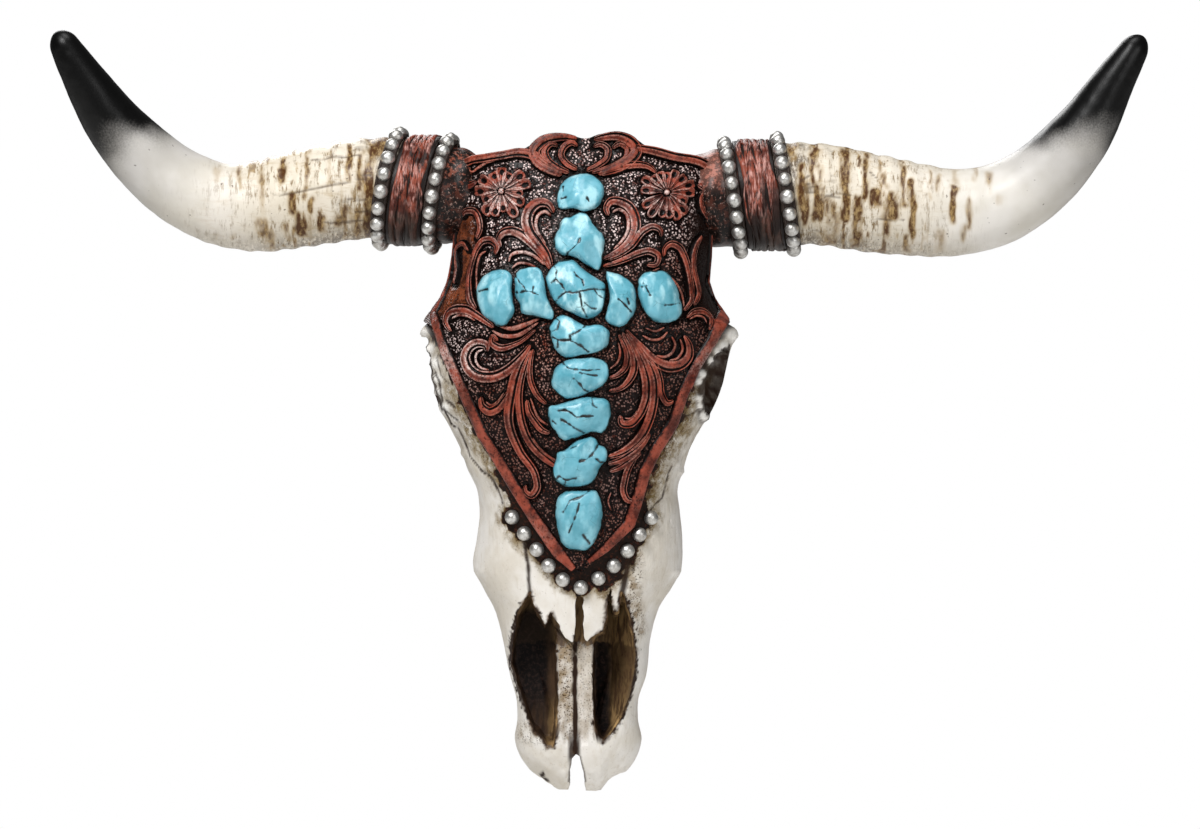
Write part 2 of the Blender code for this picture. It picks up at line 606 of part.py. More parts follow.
def make_stones(plain_skull, parts, cutters):
    under = grown(plain_skull, GAP + COVER_THICKNESS + GAP, "stone_seat", cutters)
    for i, outline in enumerate(STONES):
        settled(boolean(pebble(f"stone_{i + 1:02d}", outline, parts), "DIFFERENCE", under))


def make_bead_row(parts, cutters):
    """Domed beads seated on the bone under the cover's point."""
    under = bpy.data.objects["skull_room"]
    for i, (x, z) in enumerate(smooth_line(ROW_LINE, ROW_BEADS)):
        place = Vector((x, -front_depth(x, z), z)) + front_normal(x, z) * ROW_BEAD_LIFT * ROW_BEAD_RADIUS
        bead = ball(f"bead_{i + 1:02d}", place, (ROW_BEAD_RADIUS,) * 3, parts, segments=10, rings=7)
        paint(bead, SILVER)
        settled(boolean(bead, "DIFFERENCE", under))


def rectangle(width, height, z):
    return [
        (-width / 2, z - height / 2), (-width / 2, z + height / 2),
        (width / 2, z + height / 2), (width / 2, z - height / 2),
    ]


def keyhole_outline():
    """A round entry hole with a slot rising from it, as one outline."""
    entry_z = HANGER_Z - KEYHOLE_DROP
    slot_top = entry_z + SLOT_RISE + KEYHOLE_RADIUS
    start = math.asin(SLOT_HALF_WIDTH / KEYHOLE_RADIUS)
    points = []
    for i in range(21):
        turn = start + (2 * math.pi - 2 * start) * i / 20
        points.append((KEYHOLE_RADIUS * math.sin(turn), entry_z + KEYHOLE_RADIUS * math.cos(turn)))
    for i in range(9):
        turn = math.pi * i / 8
        rise = slot_top - SLOT_HALF_WIDTH * (1 - math.sin(turn))
        points.append((-SLOT_HALF_WIDTH * math.cos(turn), rise))
    return points


def make_hanger(skull, parts, cutters):
    """The keyhole plate lies just below the flat back, over a well that takes the screw's head."""
    pocket = rectangle(PLATE_WIDTH + 2 * GAP, PLATE_HEIGHT + 2 * GAP, HANGER_Z)
    floor = 2 * GAP + PLATE_THICKNESS
    boolean(skull, "DIFFERENCE", as_cutter(prism("plate_pocket", pocket, -floor, BACK_CLEAR, cutters)))
    well = rectangle(WELL_WIDTH, WELL_HEIGHT, HANGER_Z)
    boolean(skull, "DIFFERENCE", as_cutter(prism("screw_well", well, -WELL_DEPTH, BACK_CLEAR, cutters)))
    settled(skull)
    plate_edge = rectangle(PLATE_WIDTH, PLATE_HEIGHT, HANGER_Z)
    plate = prism("hanger_plate", plate_edge, -GAP - PLATE_THICKNESS, -GAP, parts)
    paint(plate, STEEL)
    keyhole = as_cutter(prism("keyhole", keyhole_outline(), -WELL_DEPTH, BACK_CLEAR, cutters))
    boolean(plate, "DIFFERENCE", keyhole)
    settled(plate)


def main():
    parts, cutters = clear_scene()
    skull = make_skull(parts, cutters)
    plain_skull = skull.copy()
    plain_skull.data = skull.data.copy()
    plain_skull.name = "plain_skull"
    cutters.objects.link(as_cutter(plain_skull))
    horns = [
        horn_tube("horn_left", whole_horn(HORN_LEFT), parts),
        horn_tube("horn_right", whole_horn(HORN_RIGHT), parts),
    ]
    for horn in horns:
        paint(horn, HORN)
    cut_skull(skull, horns, cutters)
    make_cover(plain_skull, horns, parts, cutters)
    for side_name, wrap in WRAPS.items():
        make_wrap(side_name, wrap, parts, cutters)
    make_stones(plain_skull, parts, cutters)
    make_bead_row(parts, cutters)
    make_hanger(skull, parts, cutters)


main()
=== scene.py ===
import math

import bmesh
import bpy
import numpy as np
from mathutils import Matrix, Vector, kdtree


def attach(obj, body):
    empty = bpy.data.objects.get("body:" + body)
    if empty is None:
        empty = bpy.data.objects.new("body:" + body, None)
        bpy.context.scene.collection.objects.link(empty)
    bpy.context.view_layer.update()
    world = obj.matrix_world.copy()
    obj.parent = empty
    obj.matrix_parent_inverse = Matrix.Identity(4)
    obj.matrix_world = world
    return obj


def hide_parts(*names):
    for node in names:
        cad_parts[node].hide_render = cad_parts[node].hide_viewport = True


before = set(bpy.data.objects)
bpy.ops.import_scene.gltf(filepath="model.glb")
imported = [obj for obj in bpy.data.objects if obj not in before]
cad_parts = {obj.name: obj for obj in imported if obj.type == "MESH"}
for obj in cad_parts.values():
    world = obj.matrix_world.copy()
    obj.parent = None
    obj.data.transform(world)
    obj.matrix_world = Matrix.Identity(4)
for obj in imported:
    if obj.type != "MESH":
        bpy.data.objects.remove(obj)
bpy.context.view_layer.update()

# The ornament is modelled in millimetres, seen from the front: x to the right, z up, and y into the wall
# behind the flat back. MM turns a length into metres.
MM = 0.001


# Skull: a longhorn steer's skull cast in polyester resin, painted ivory and wiped with a thin brown wash that
# stays in every crack and pore. Its flat back lies on the wall, with a pocket in it for the hanger plate.
# Rows from the muzzle up: height, sideways shift, half width, depths of the middle and of the widest line,
# half width of the flat back, and squareness of the front.
SKULL = np.array([
    (-213.5, 0.4, 10.5, 21, 11, 7, 2.2), (-209.5, 0.4, 16.5, 26.5, 12, 12, 2.3),
    (-205, 0, 22.5, 31, 13, 17, 2.4), (-200, -0.2, 26.8, 34.5, 14, 20, 2.5),
    (-193, -0.4, 29.6, 38, 15, 22, 2.5), (-182, -0.8, 28.4, 43, 17, 21, 2.5),
    (-172, -0.9, 29, 46.5, 18, 22, 2.5), (-162, -0.6, 31.9, 50, 19, 24, 2.5),
    (-144, -1.2, 34.8, 56, 20, 26, 2.5), (-130, -1.2, 38.5, 59.5, 21, 28, 2.5),
    (-121, -0.9, 43.9, 61.5, 22, 30, 2.5), (-111, -0.8, 48.6, 63.5, 22, 32, 2.5),
    (-98, 0.2, 48.3, 66.5, 23, 33, 2.5), (-84, 0.2, 46.8, 69, 24, 33, 2.5),
    (-74, -0.8, 47.2, 71, 24, 34, 2.6), (-65, -1.6, 50.4, 73, 25, 36, 2.6),
    (-55, -1.7, 53.8, 74.5, 25, 39, 2.6), (-46, -1.6, 58.6, 76, 25, 42, 2.6),
    (-37, -1.5, 63.6, 77.5, 26, 44, 2.6), (-27, -0.8, 67.5, 78.5, 26, 46, 2.6),
    (-18, -0.6, 69.4, 79, 26, 47, 2.6), (-10, 0.2, 70.4, 79.5, 27, 47, 2.6),
    (-4, 0.8, 71.8, 79.5, 27, 47, 2.6), (0.5, -0.2, 73.2, 79.5, 28, 47, 2.6),
    (5, -1.4, 68.2, 79, 28, 46, 2.6), (12, -1.9, 62.4, 78.5, 29, 46, 2.7),
    (20, -0.8, 58, 77.5, 30, 46, 2.8), (36, 1.4, 56.6, 74, 30, 46, 2.8),
    (58, 2.5, 57.4, 67, 30, 47, 2.9), (71, 2.8, 56.8, 61, 29, 46, 2.9),
    (78, 2.8, 54, 55.5, 28, 42, 2.8), (81.5, 2.8, 46, 51.5, 27, 36, 2.7),
    (84, 2.8, 34, 46.5, 27, 26, 2.5),
])
FINE_TO, EDGE_TO = -75.0, 20.0  # the rows are 0.6 mm apart below the first height and 1 mm below the second
SOCKETS = [((66.5, -45.5, -24), (13, 16.5, 17)), ((-73.5, -33, -23), (11, 13, 16))]
# The nose, as ragged outlines: the shallow opening under the nose bones, then the two deep nostrils.
NOSE_OPENING = [
    (-23.3, -123), (-21, -128.2), (-19.1, -131.9), (-15.8, -137.7), (-14.2, -135.1), (-13, -131.4),
    (-10.7, -135.6), (-8.9, -138.9), (-6.1, -143.5), (-3.3, -145.6), (-1.6, -143.5), (-1.8, -124),
    (2, -124), (2.3, -143.1), (3.3, -145.2), (5.1, -143.3), (8.4, -141.4), (11.2, -140.5),
    (12.1, -136.5), (13, -134.2), (13.5, -126.8), (14, -120.2), (14.9, -121.2), (15.4, -127.2),
    (16.3, -131.4), (17.7, -131.4), (18.9, -127.7), (19.6, -122.1), (21.9, -125.8), (23.3, -132.3),
    (25.2, -140.7), (26.8, -149.1), (26.1, -159.4), (23.8, -171), (20, -180.8), (15.4, -188.3),
    (11.2, -192.9), (6.1, -194.8), (1.9, -194.3), (-2.3, -198.1), (-6.1, -194.8), (-10.7, -195.3),
    (-15.4, -194.8), (-16.8, -191.5), (-21.4, -187.8), (-24.2, -180.8), (-27, -172.4), (-29.8, -163.1),
    (-32.2, -156.1), (-31.7, -145.4), (-29.8, -137.5), (-28, -130.5),
]
LEFT_NOSTRIL = [
    (-22.8, -122.6), (-27.5, -130.5), (-29.4, -137.5), (-31.2, -145.4), (-31.7, -156.1),
    (-29.4, -163.1), (-26.6, -172.4), (-23.8, -180.8), (-21, -187.8), (-16.8, -191.1), (-14.9, -194.4),
    (-12.1, -194.4), (-10.7, -188.7), (-9.8, -172.4), (-10.3, -149.1), (-9.8, -140.7), (-13, -132.1),
    (-15.8, -137.9), (-19.1, -132.1), (-21, -128.4),
]
RIGHT_NOSTRIL = [
    (19.5, -124.5), (18.8, -130.9), (17.4, -131.9), (15.8, -131.7), (14.7, -126.2), (13.7, -124.2),
    (13.5, -127.7), (12.6, -135.1), (11.2, -140.7), (8.4, -141.9), (6.3, -144.9), (6.1, -153.8),
    (6.1, -172.4), (7, -184.1), (8.4, -190.1), (11.2, -192.3), (15.4, -187.8), (20, -180.3),
    (23.8, -170.1), (26.1, -158.4), (26.4, -149.1), (24.7, -139.8), (22.8, -131.4), (21.4, -125.6),
]
NOTCH = [(-3.6, -200.8), (-1.6, -198.4), (0.4, -199.6), (1.6, -204.4), (2.6, -209.5), (3.6, -220),
         (-5.2, -220), (-4.5, -209), (-4, -204)]
# How far the two lobes of the muzzle hang below the plain rows, across x.
LOBES = [(-32, 1.5), (-26, 2.4), (-16, 2.1), (-10, 1.9), (-6.5, 1.6), (-5, 0.6), (2, 0.8), (4.5, 2),
         (8, 3), (10, 2.6), (13.5, 0.2), (19, -0.2), (23, 1), (28, 2), (31, 2.2)]
# The line of the stud row, which the paint pools round.
ROW_LINE = [(-30.4, -87), (-20, -101), (-7.5, -115.8), (0.6, -119.6), (9.2, -115.2), (22.5, -102),
            (32.8, -87.3)]
# Cracks, drawn seen from the front: half width, depth, and the line itself.
SKULL_CRACKS = [
    (0.45, 0.9, [(-62.9, -36.8), (-59.6, -43.8), (-56.4, -45.7), (-54.1, -49.9), (-51.7, -55.9),
                 (-50.8, -59.2), (-48, -62.4), (-44.7, -66.2), (-41, -68.5), (-38.2, -73.2), (-36.3, -77.8),
                 (-35.4, -80.6)]),
    (0.8, 0.9, [(-25.2, -98.3), (-24.6, -104), (-23.6, -110), (-23.4, -117), (-22.8, -122.6)]),
    (0.4, 0.7, [(43.3, -63.4), (41.5, -66.6), (40.1, -73.2), (38.7, -78.3), (35.4, -81.1), (33.1, -83.9)]),
    (1.3, 0.9, [(24.2, -104.2), (22.9, -109), (21.6, -115.1), (20.2, -123)]),
    (0.5, 0.5, [(48.5, -40.5), (52.7, -39.1), (55.9, -36.8)]),
    (0.6, 0.8, [(-69.9, -13), (-69, -18.6), (-68, -24.2), (-65.2, -32.6), (-63.8, -37.3)]),
    (0.5, 0.7, [(-67.1, -19.6), (-65.2, -23.8), (-64.4, -28.9), (-63.6, -33.5)]),
    (0.6, 0.8, [(-61.5, -33.1), (-59.6, -34.5), (-58.2, -35.9)]),
    (0.4, 0.6, [(-62, -37.7), (-59.2, -40.1), (-56.4, -42.4)]),
    (0.35, 0.4, [(-66.2, -13), (-64.3, -21), (-60.6, -25.2), (-57.3, -25.6)]),
    (0.35, 0.4, [(30.2, -88), (29, -96), (26.4, -104), (25, -112)]),
]
# Knobs of chipped bone: x, z, radius and height.
KNOBS = [
    (72, -2.5, 3.2, 1.6), (67.5, -7.6, 2.2, 1.6), (64.6, -10.2, 1.7, 1.5), (62, -14.6, 2.2, 1.7),
    (57.6, -20.6, 1.9, 1.4), (55.9, -24.2, 1.5, 1.1), (56, -31.8, 1.6, 1.5), (56.3, -35.4, 1.5, 1.2),
    (58.4, -40.2, 2.4, 1.3), (52, -43.5, 3.2, 1), (47.4, -66, 2, 0.9), (46.2, -62.2, 1.4, 0.6),
    (-72.4, -1.2, 2, 1.6), (-70, -8.6, 2.4, 1.8), (-67.4, -15.5, 2.6, 1.8), (-66.4, -22.5, 2.4, 2),
    (-65.6, -29, 2.2, 1.8), (-63, -36.5, 2.6, 1.2), (-53.6, -57.6, 2.2, 0.8),
    (-46.5, -112.5, 3, 0.8), (45.5, -113, 3, 0.7),
]
# The lower edge of the cover, seen from the front: from each brow corner down to the point.
EDGE_RIGHT = [(70.5, 3), (64.5, -3.6), (56.8, -15.5), (50.6, -29), (46, -42.4), (38.4, -54.2),
              (32.8, -65.2), (30.2, -75.5), (26, -88.8), (13.6, -101.7), (1.5, -113.5)]
EDGE_LEFT = [(-70.5, 2.6), (-64.8, -8), (-59, -21), (-51, -38.6), (-46.3, -49), (-40.5, -57.8),
             (-34.5, -68), (-24.2, -84.8), (-12, -102.5), (1.5, -113.5)]
COVER_FOOT, BROW_CORNER = -112.0, 3.0
FRONT_POINTS, SIDE_POINTS = 160, 24  # of half a section: middle to widest line, and on to the flat back


def smooth_through(keys, at):
    """A smooth curve through rows of numbers, whose first column says how far along each row lies."""
    keys = np.asarray(keys, float)
    place, value = keys[:, 0], keys[:, 1:]
    slope = np.gradient(value, place, axis=0)
    at = np.atleast_1d(np.asarray(at, float))
    i = np.clip(np.searchsorted(place, at) - 1, 0, len(place) - 2)
    step = (place[i + 1] - place[i])[:, None]
    t = (at - place[i])[:, None] / step
    return (
        value[i] * (1 + 2 * t) * (1 - t) ** 2
        + slope[i] * step * t * (1 - t) ** 2
        + value[i + 1] * t**2 * (3 - 2 * t)
        + slope[i + 1] * step * t**2 * (t - 1)
    )


def distances(points):
    """How far along a chain of points each one lies."""
    return np.concatenate([[0], np.cumsum(np.linalg.norm(np.diff(points, axis=0), axis=1))])


def evenly(points, count):
    """Evenly spaced points along a chain of straight lines, ends included."""
    points = np.asarray(points, float)
    along = distances(points)
    wanted = np.linspace(0, along[-1], count)
    return np.column_stack([np.interp(wanted, along, points[:, k]) for k in range(points.shape[1])])


def smooth_line(points, count):
    """Evenly spaced points along a smooth curve through a few, ends included."""
    points = np.asarray(points, float)
    along = distances(points)
    fine = smooth_through(np.column_stack([along, points]), np.linspace(0, along[-1], 40 * len(points)))
    return evenly(fine, count)


def noise(points, size, seed=0):
    """Smooth random values between -1 and 1 that change over about size millimetres."""
    p = np.asarray(points) / size + 17.3 * seed + 1000
    cell = np.floor(p).astype(np.int64)
    t = p - cell
    t = t * t * (3 - 2 * t)
    total = 0
    for corner in range(8):
        step = np.array([corner & 1, corner >> 1 & 1, corner >> 2])
        i = cell + step
        # Large odd numbers scramble the corner's place into a value that looks random.
        code = i[:, 0] * 374761393 + i[:, 1] * 668265263 + i[:, 2] * 1274126177
        code = (code ^ (code >> 13)) * 1103515245 & 0x7FFFFFFF
        value = (code ^ (code >> 15)) / 0x3FFFFFFF - 1
        total = total + np.prod(np.where(step, t, 1 - t), axis=1) * value
    return total


def rough(points, size, octaves=3, seed=0):
    """Several layers of noise, each half as wide and half as strong as the one before."""
    return sum(noise(points, size / 2**k, seed + k) / 2**k for k in range(octaves))


def ease(value, low, high):
    """0 below low and 1 above high, with a smooth rise between."""
    t = np.clip((value - low) / (high - low), 0, 1)
    return t * t * (3 - 2 * t)


def line_distance(x, z, line):
    """Distance of each place to a chain of straight lines, seen from the front."""
    best = np.full(len(x), 1e9)
    for (ax, az), (bx, bz) in zip(line, line[1:]):
        dx, dz = bx - ax, bz - az
        t = np.clip(((x - ax) * dx + (z - az) * dz) / (dx * dx + dz * dz), 0, 1)
        best = np.minimum(best, np.hypot(x - ax - t * dx, z - az - t * dz))
    return best


def inside(x, z, outline):
    """Whether each place lies inside a closed outline."""
    odd = np.zeros(len(x), bool)
    for (ax, az), (bx, bz) in zip(outline, [*outline[1:], outline[0]]):
        if az != bz:
            odd ^= ((az > z) != (bz > z)) & (x < (bx - ax) * (z - az) / (bz - az) + ax)
    return odd


def closed(outline):
    """An outline with its first point once more at its end."""
    return [*outline, outline[0]]


def half_ring(row):
    """Half of a section from the middle of the front to the flat back, as x from the middle and y."""
    _, half, crown, widest, back, square = row
    turn = np.linspace(0, math.pi / 2, FRONT_POINTS)
    x = half * np.sin(turn) ** (2 / square)
    y = -widest - (crown - widest) * np.cos(turn).clip(0) ** (2 / square)
    turn = np.linspace(0, math.pi / 2, SIDE_POINTS)[1:]
    side_x = back + (half - back) * np.cos(turn)
    return np.concatenate([x, side_x]), np.concatenate([y, -widest * (1 - np.sin(turn))])


def front_depth(x, z, sections):
    """How far the front stands out of the wall at each place."""
    shift, half, crown, side, _, square = smooth_through(sections, z).T
    across = np.minimum(np.abs(x - shift) / half, 0.9995)
    return side + (crown - side) * (1 - across**square) ** (1 / square)


def grid_faces(rows, columns, closed=False):
    """Quads between neighbours of a grid of points that is numbered row by row."""
    i = np.arange(rows - 1)[:, None] * columns
    j = np.arange(columns if closed else columns - 1)[None, :]
    k = (j + 1) % columns
    return np.stack([i + j, i + k, i + columns + k, i + columns + j], axis=-1).reshape(-1, 4).tolist()


def grid_normals(grid, closed=False):
    """Outward directions of a grid of points whose columns run round and rows run up."""
    if closed:
        across = np.roll(grid, -1, axis=1) - np.roll(grid, 1, axis=1)
    else:
        across = np.gradient(grid, axis=1)
    normal = np.cross(across, np.gradient(grid, axis=0))
    return normal / np.maximum(np.linalg.norm(normal, axis=-1, keepdims=True), 1e-9)


def tube_faces(rings, around):
    """Faces of a tube closed at both ends; the middles of its first and last end follow its points."""
    faces = grid_faces(rings, around, closed=True)
    last, ends = (rings - 1) * around, rings * around
    for i in range(around):
        j = (i + 1) % around
        faces.append([j, i, ends])
        faces.append([last + i, last + j, ends + 1])
    return faces


def mesh_object(name, points, faces):
    """A smooth mesh in the scene, from points in millimetres."""
    mesh = bpy.data.meshes.new(name)
    mesh.from_pydata((np.asarray(points) * MM).tolist(), [], faces)
    mesh.validate()
    mesh.shade_smooth()
    obj = bpy.data.objects.new(name, mesh)
    bpy.context.scene.collection.objects.link(obj)
    return obj


def places(obj):
    """The object's points in millimetres."""
    found = np.empty(len(obj.data.vertices) * 3, np.float32)
    obj.data.vertices.foreach_get("co", found)
    return found.reshape(-1, 3).astype(float) / MM


def layer(obj, name, values):
    """Stores one number for each point, which the material reads."""
    made = obj.data.attributes.new(name, "FLOAT", "POINT")
    made.data.foreach_set("value", np.asarray(values, np.float32))


def by_height(edge):
    """Half of the cover's lower edge as many points, the lowest first."""
    return np.array(sorted(smooth_line(edge, 200), key=lambda p: p[1]))


def skull_rows():
    """The skull's rings, with their points crowded where the cover leaves the bone bare."""
    thin, overlap = 0.12, 5.0  # share of points under the cover, and how far the crowd reaches under it
    in_front, beside, behind = 101, 14, 12  # points on half the front, round a side, and across the back
    sides = [(1, by_height(EDGE_RIGHT)), (-1, by_height(EDGE_LEFT))]
    heights = np.concatenate([
        np.arange(SKULL[0, 0], FINE_TO, 0.6), np.arange(FINE_TO, EDGE_TO, 1.0),
        np.linspace(EDGE_TO, SKULL[-1, 0], 26),
    ])
    rings = []
    for z, row in zip(heights, smooth_through(SKULL, heights)):
        x, y = half_ring(row)
        along = distances(np.column_stack([x, y]))
        front = along[FRONT_POINTS - 1]
        halves = []
        for sign, edge in sides:
            hidden = 0.0
            if z > COVER_FOOT:
                limit = np.interp(min(z, BROW_CORNER), edge[:, 1], edge[:, 0]) * sign - sign * row[0]
                hidden = np.interp(limit - overlap, x[:FRONT_POINTS], along[:FRONT_POINTS])
            share = thin * hidden
            weight = np.linspace(0, share + front - hidden, in_front)
            face = np.where(weight < share, weight / thin, weight - share + hidden)
            side = front + (along[-1] - front) * np.linspace(0, 1, beside + 1)[1:]
            s = np.concatenate([face, side])
            halves.append(np.column_stack([
                row[0] + sign * np.interp(s, along, x), np.interp(s, along, y), np.full(len(s), z),
            ]))
        back = np.linspace(halves[0][-1], halves[1][-1], behind + 2)[1:-1]
        rings.append(np.concatenate([halves[0], back, halves[1][:0:-1]]))
    return np.array(rings)


def skull_relief(points):
    """Lumps, grain, cracks and knobs of the bone, in millimetres outwards."""
    x, z = points[:, 0], points[:, 2]
    height = 0.35 * rough(points, 16, 3, seed=1)
    height += 0.7 * rough(points, 7, 2, seed=3) * ease(-z, 196, 206)
    height += 0.10 * rough(points * (1, 1, 0.4), 2.2, 2, seed=5)
    pores = ease(noise(points * (1, 1, 0.6), 1.5, seed=9), 0.62, 0.85)
    height -= 0.35 * (pores * ease(noise(points, 9, seed=11), 0.0, 0.4))
    wander = 0.25 * noise(points, 2.5, seed=15)
    for half, depth, line in SKULL_CRACKS:
        height -= depth * (1 - ease(line_distance(x, z, line) + wander, 0.3 * half, 1.5 * half))
    uneven = 1 + 0.7 * noise(points, 1.6, seed=21)
    for knob_x, knob_z, radius, tall in KNOBS:
        near = np.hypot(x - knob_x, z - knob_z) / radius
        height += tall * np.exp(-near**2 * 1.6) * uneven
    return height * ease(-points[:, 1], 1.5, 6.0)


def ragged(outline, count, by, seed, size=2.2):
    """A closed outline with small irregular teeth."""
    edge = evenly(closed(outline), count + 1)[:-1]
    shake = np.column_stack([edge[:, 0], np.zeros(count), edge[:, 1]])
    return edge + by * np.column_stack([rough(shake, size, 2, seed), rough(shake, size, 2, seed + 7)])


def hollow(outline, floor, steps, pinch):
    """A cutter from in front of the skull down to floor(x, z), narrowing by pinch as it goes."""
    ahead = np.roll(outline, -1, axis=0)
    if (outline[:, 0] * ahead[:, 1] - ahead[:, 0] * outline[:, 1]).sum() > 0:
        outline = outline[::-1]
    count = len(outline)
    middle = outline.mean(axis=0)
    start = -90.0  # well in front of the bone
    top = front_depth(outline[:, 0], outline[:, 1], SKULL) + 1.5
    rings = [np.column_stack([outline[:, 0], np.full(count, start), outline[:, 1]])]
    for deep in np.linspace(0, 1, steps):
        place = outline + (middle - outline) * pinch * deep
        y = -(top + (floor(place[:, 0], place[:, 1]) - top) * deep)
        ring = np.column_stack([place[:, 0], y, place[:, 1]])
        if deep > 0:
            ring[:, 0] += 0.5 * rough(ring, 4.0, 2, seed=31)
        rings.append(ring)
    bottom = -floor(*middle[:, None])[0]
    ends = [[middle[0], start, middle[1]], [middle[0], bottom, middle[1]]]
    return mesh_object("hollow", np.concatenate([*rings, ends]), tube_faces(len(rings), count))


def cut(obj, cutter):
    """Cuts one solid from another and keeps the result as the object's mesh."""
    modifier = obj.modifiers.new("cut", "BOOLEAN")
    modifier.operation = "DIFFERENCE"
    modifier.solver = "MANIFOLD"
    modifier.object = cutter
    bpy.context.view_layer.update()
    mesh = bpy.data.meshes.new_from_object(obj.evaluated_get(bpy.context.evaluated_depsgraph_get()))
    obj.modifiers.clear()
    obj.data = mesh
    bpy.data.objects.remove(cutter)


def dome_grid(tilt, turn):
    """Places on a ball of radius 1, for each tilt from the bottom up and each turn round it."""
    flat = np.cos(tilt)[:, None]
    return np.stack([flat * np.cos(turn), flat * np.sin(turn), np.sin(tilt)[:, None] + 0 * turn], axis=-1)


def egg(middle, radii, seed):
    """An egg-shaped cutter with lumpy walls."""
    rings, around = 40, 72
    tilt = np.linspace(-math.pi / 2, math.pi / 2, rings + 2)[1:-1]
    grid = dome_grid(tilt, np.linspace(0, 2 * math.pi, around, endpoint=False))
    points = np.concatenate([grid.reshape(-1, 3), [(0, 0, -1.0), (0, 0, 1.0)]]) * radii
    points *= (1 + 0.06 * rough(points, 5.0, 3, seed))[:, None]
    return mesh_object("egg", points + middle, tube_faces(rings, around))


def block(low, high):
    """A closed block between two corners."""
    points = [[(low, high)[i >> k & 1][k] for k in range(3)] for i in range(8)]
    faces = [[0, 2, 3, 1], [4, 5, 7, 6], [0, 1, 5, 4], [2, 6, 7, 3], [0, 4, 6, 2], [1, 3, 7, 5]]
    return mesh_object("block", np.array(points, float), faces)


def opening_floor(x, z):
    """The shallow opening falls 14 mm from top to bottom; its top is shallower between the nose bones."""
    between_bones = (1 - ease(np.abs(x - 0.2), 2.4, 3.4)) * ease(z, -146, -141)
    return 51.0 + 14.0 * (z + 123.0) / 74.0 + 0.8 * np.cos((x + 2.0) * 0.75) + 5.5 * between_bones


def left_floor(x, z):
    """How far the left nostril's floor stands out of the wall: a little more at its foot."""
    return 26.0 + 3.0 * ease(-z, 175.0, 194.0)


def right_floor(x, z):
    """The right nostril's floor climbs towards its right wall and its foot."""
    return 24.0 + 17.0 * ease(x, 13.0, 25.0) + 4.0 * ease(-z, 170.0, 190.0)


def past_the_back(x, z):
    """The notch in the muzzle is cut right through, out of the flat back."""
    return np.full(len(x), -5.0)


def make_skull():
    """The plain rows with their relief, then the openings, the sockets and the pocket cut out."""
    grid = skull_rows()
    rows, columns = grid.shape[:2]
    flat = grid.reshape(-1, 3)
    points = flat + grid_normals(grid, closed=True).reshape(-1, 3) * skull_relief(flat)[:, None]
    points[:, 2] -= np.interp(points[:, 0], *np.array(LOBES).T) * ease(-points[:, 2], 192, 208)
    faces = grid_faces(rows, columns, closed=True)
    faces += [list(range(columns))[::-1], list(range(len(points) - columns, len(points)))]
    skull = mesh_object("steer_skull", points, faces)
    for outline, count, by, seed, floor, steps, pinch in (
        (NOSE_OPENING, 260, 0.35, 41, opening_floor, 8, 0.0),
        (LEFT_NOSTRIL, 180, 0.3, 43, left_floor, 16, 0.12),
        (RIGHT_NOSTRIL, 180, 0.3, 45, right_floor, 16, 0.12),
        (NOTCH, 90, 0.25, 47, past_the_back, 10, 0.0),
    ):
        cut(skull, hollow(ragged(outline, count, by, seed), floor, steps, pinch))
    for i, (middle, radii) in enumerate(SOCKETS):
        cut(skull, egg(middle, radii, 51 + i))
    # In the flat back, the pocket of the hanger plate and behind it the well for the wall screw's head.
    cut(skull, block((-22.3, -1.8, 34.7), (22.3, 9.0, 57.3)))
    cut(skull, block((-12.0, -12.0, 36.5), (12.0, 9.0, 55.5)))
    return skull


def near_openings(p):
    """The walls and floors of the nose, and the chipped place at the left of the muzzle."""
    nose = (np.abs(p[:, 0]) < 34) & (p[:, 2] < -118) & (p[:, 1] < -12)
    sunk = front_depth(p[:, 0], p[:, 2], SKULL) + p[:, 1] > 1.0
    return nose & sunk | (np.hypot(p[:, 0] + 15.4, p[:, 2] + 208.2) < 5)


def finer(obj, longest, where):
    """Splits the edges that are longer than so many millimetres among the chosen places."""
    work = bmesh.new()
    work.from_mesh(obj.data)
    for _ in range(5):
        edges = [e for e in work.edges if e.calc_length() > longest * MM]
        middles = np.array([((e.verts[0].co + e.verts[1].co) / 2)[:] for e in edges]) / MM
        chosen = [e for e, yes in zip(edges, where(middles)) if yes] if edges else []
        if not chosen:
            break
        bmesh.ops.subdivide_edges(work, edges=chosen, cuts=1)
        bmesh.ops.triangulate(work, faces=[f for f in work.faces if len(f.verts) > 4])
    work.to_mesh(obj.data)
    work.free()
    obj.data.shade_smooth()


skull = make_skull()
finer(skull, 1.6, near_openings)
at = places(skull)
x, z = at[:, 0], at[:, 2]
below = front_depth(x, z, SKULL) + at[:, 1]  # how far each place lies under the plain front
front = at[:, 1] < -20
wander = 0.8 * rough(at, 3.0, 3, seed=77)
# The parts of the nose: the bars between the nostrils, what lies within the openings, and the eaves, which
# are the walls under the nose bones.
nose = inside(x, z, [(-36, -119), (30, -119), (30, -200), (-36, -200)])
between = inside(x + 0.5 * rough(at, 2.4, 2, seed=71), z, [
    (-10, -138), (-2, -146), (6.3, -144), (6.1, -172), (7, -184), (8.6, -194), (-11.6, -197), (-10.6, -188),
    (-9.6, -172), (-10.1, -149),
])
mouth = np.minimum(*[line_distance(x, z, closed(edge)) for edge in (LEFT_NOSTRIL, RIGHT_NOSTRIL)])
opened = (mouth < 0.8) | (line_distance(x, z, closed(NOSE_OPENING)) < 0.8)
for edge in (LEFT_NOSTRIL, RIGHT_NOSTRIL, NOSE_OPENING):
    opened |= inside(x, z, edge)
opened &= at[:, 1] < -21.5
within = opened & (inside(x, z, LEFT_NOSTRIL) | inside(x, z, RIGHT_NOSTRIL))
left_in, right_in = (opened & ~between & (sign * (x + 2) > 0) for sign in (-1, 1))
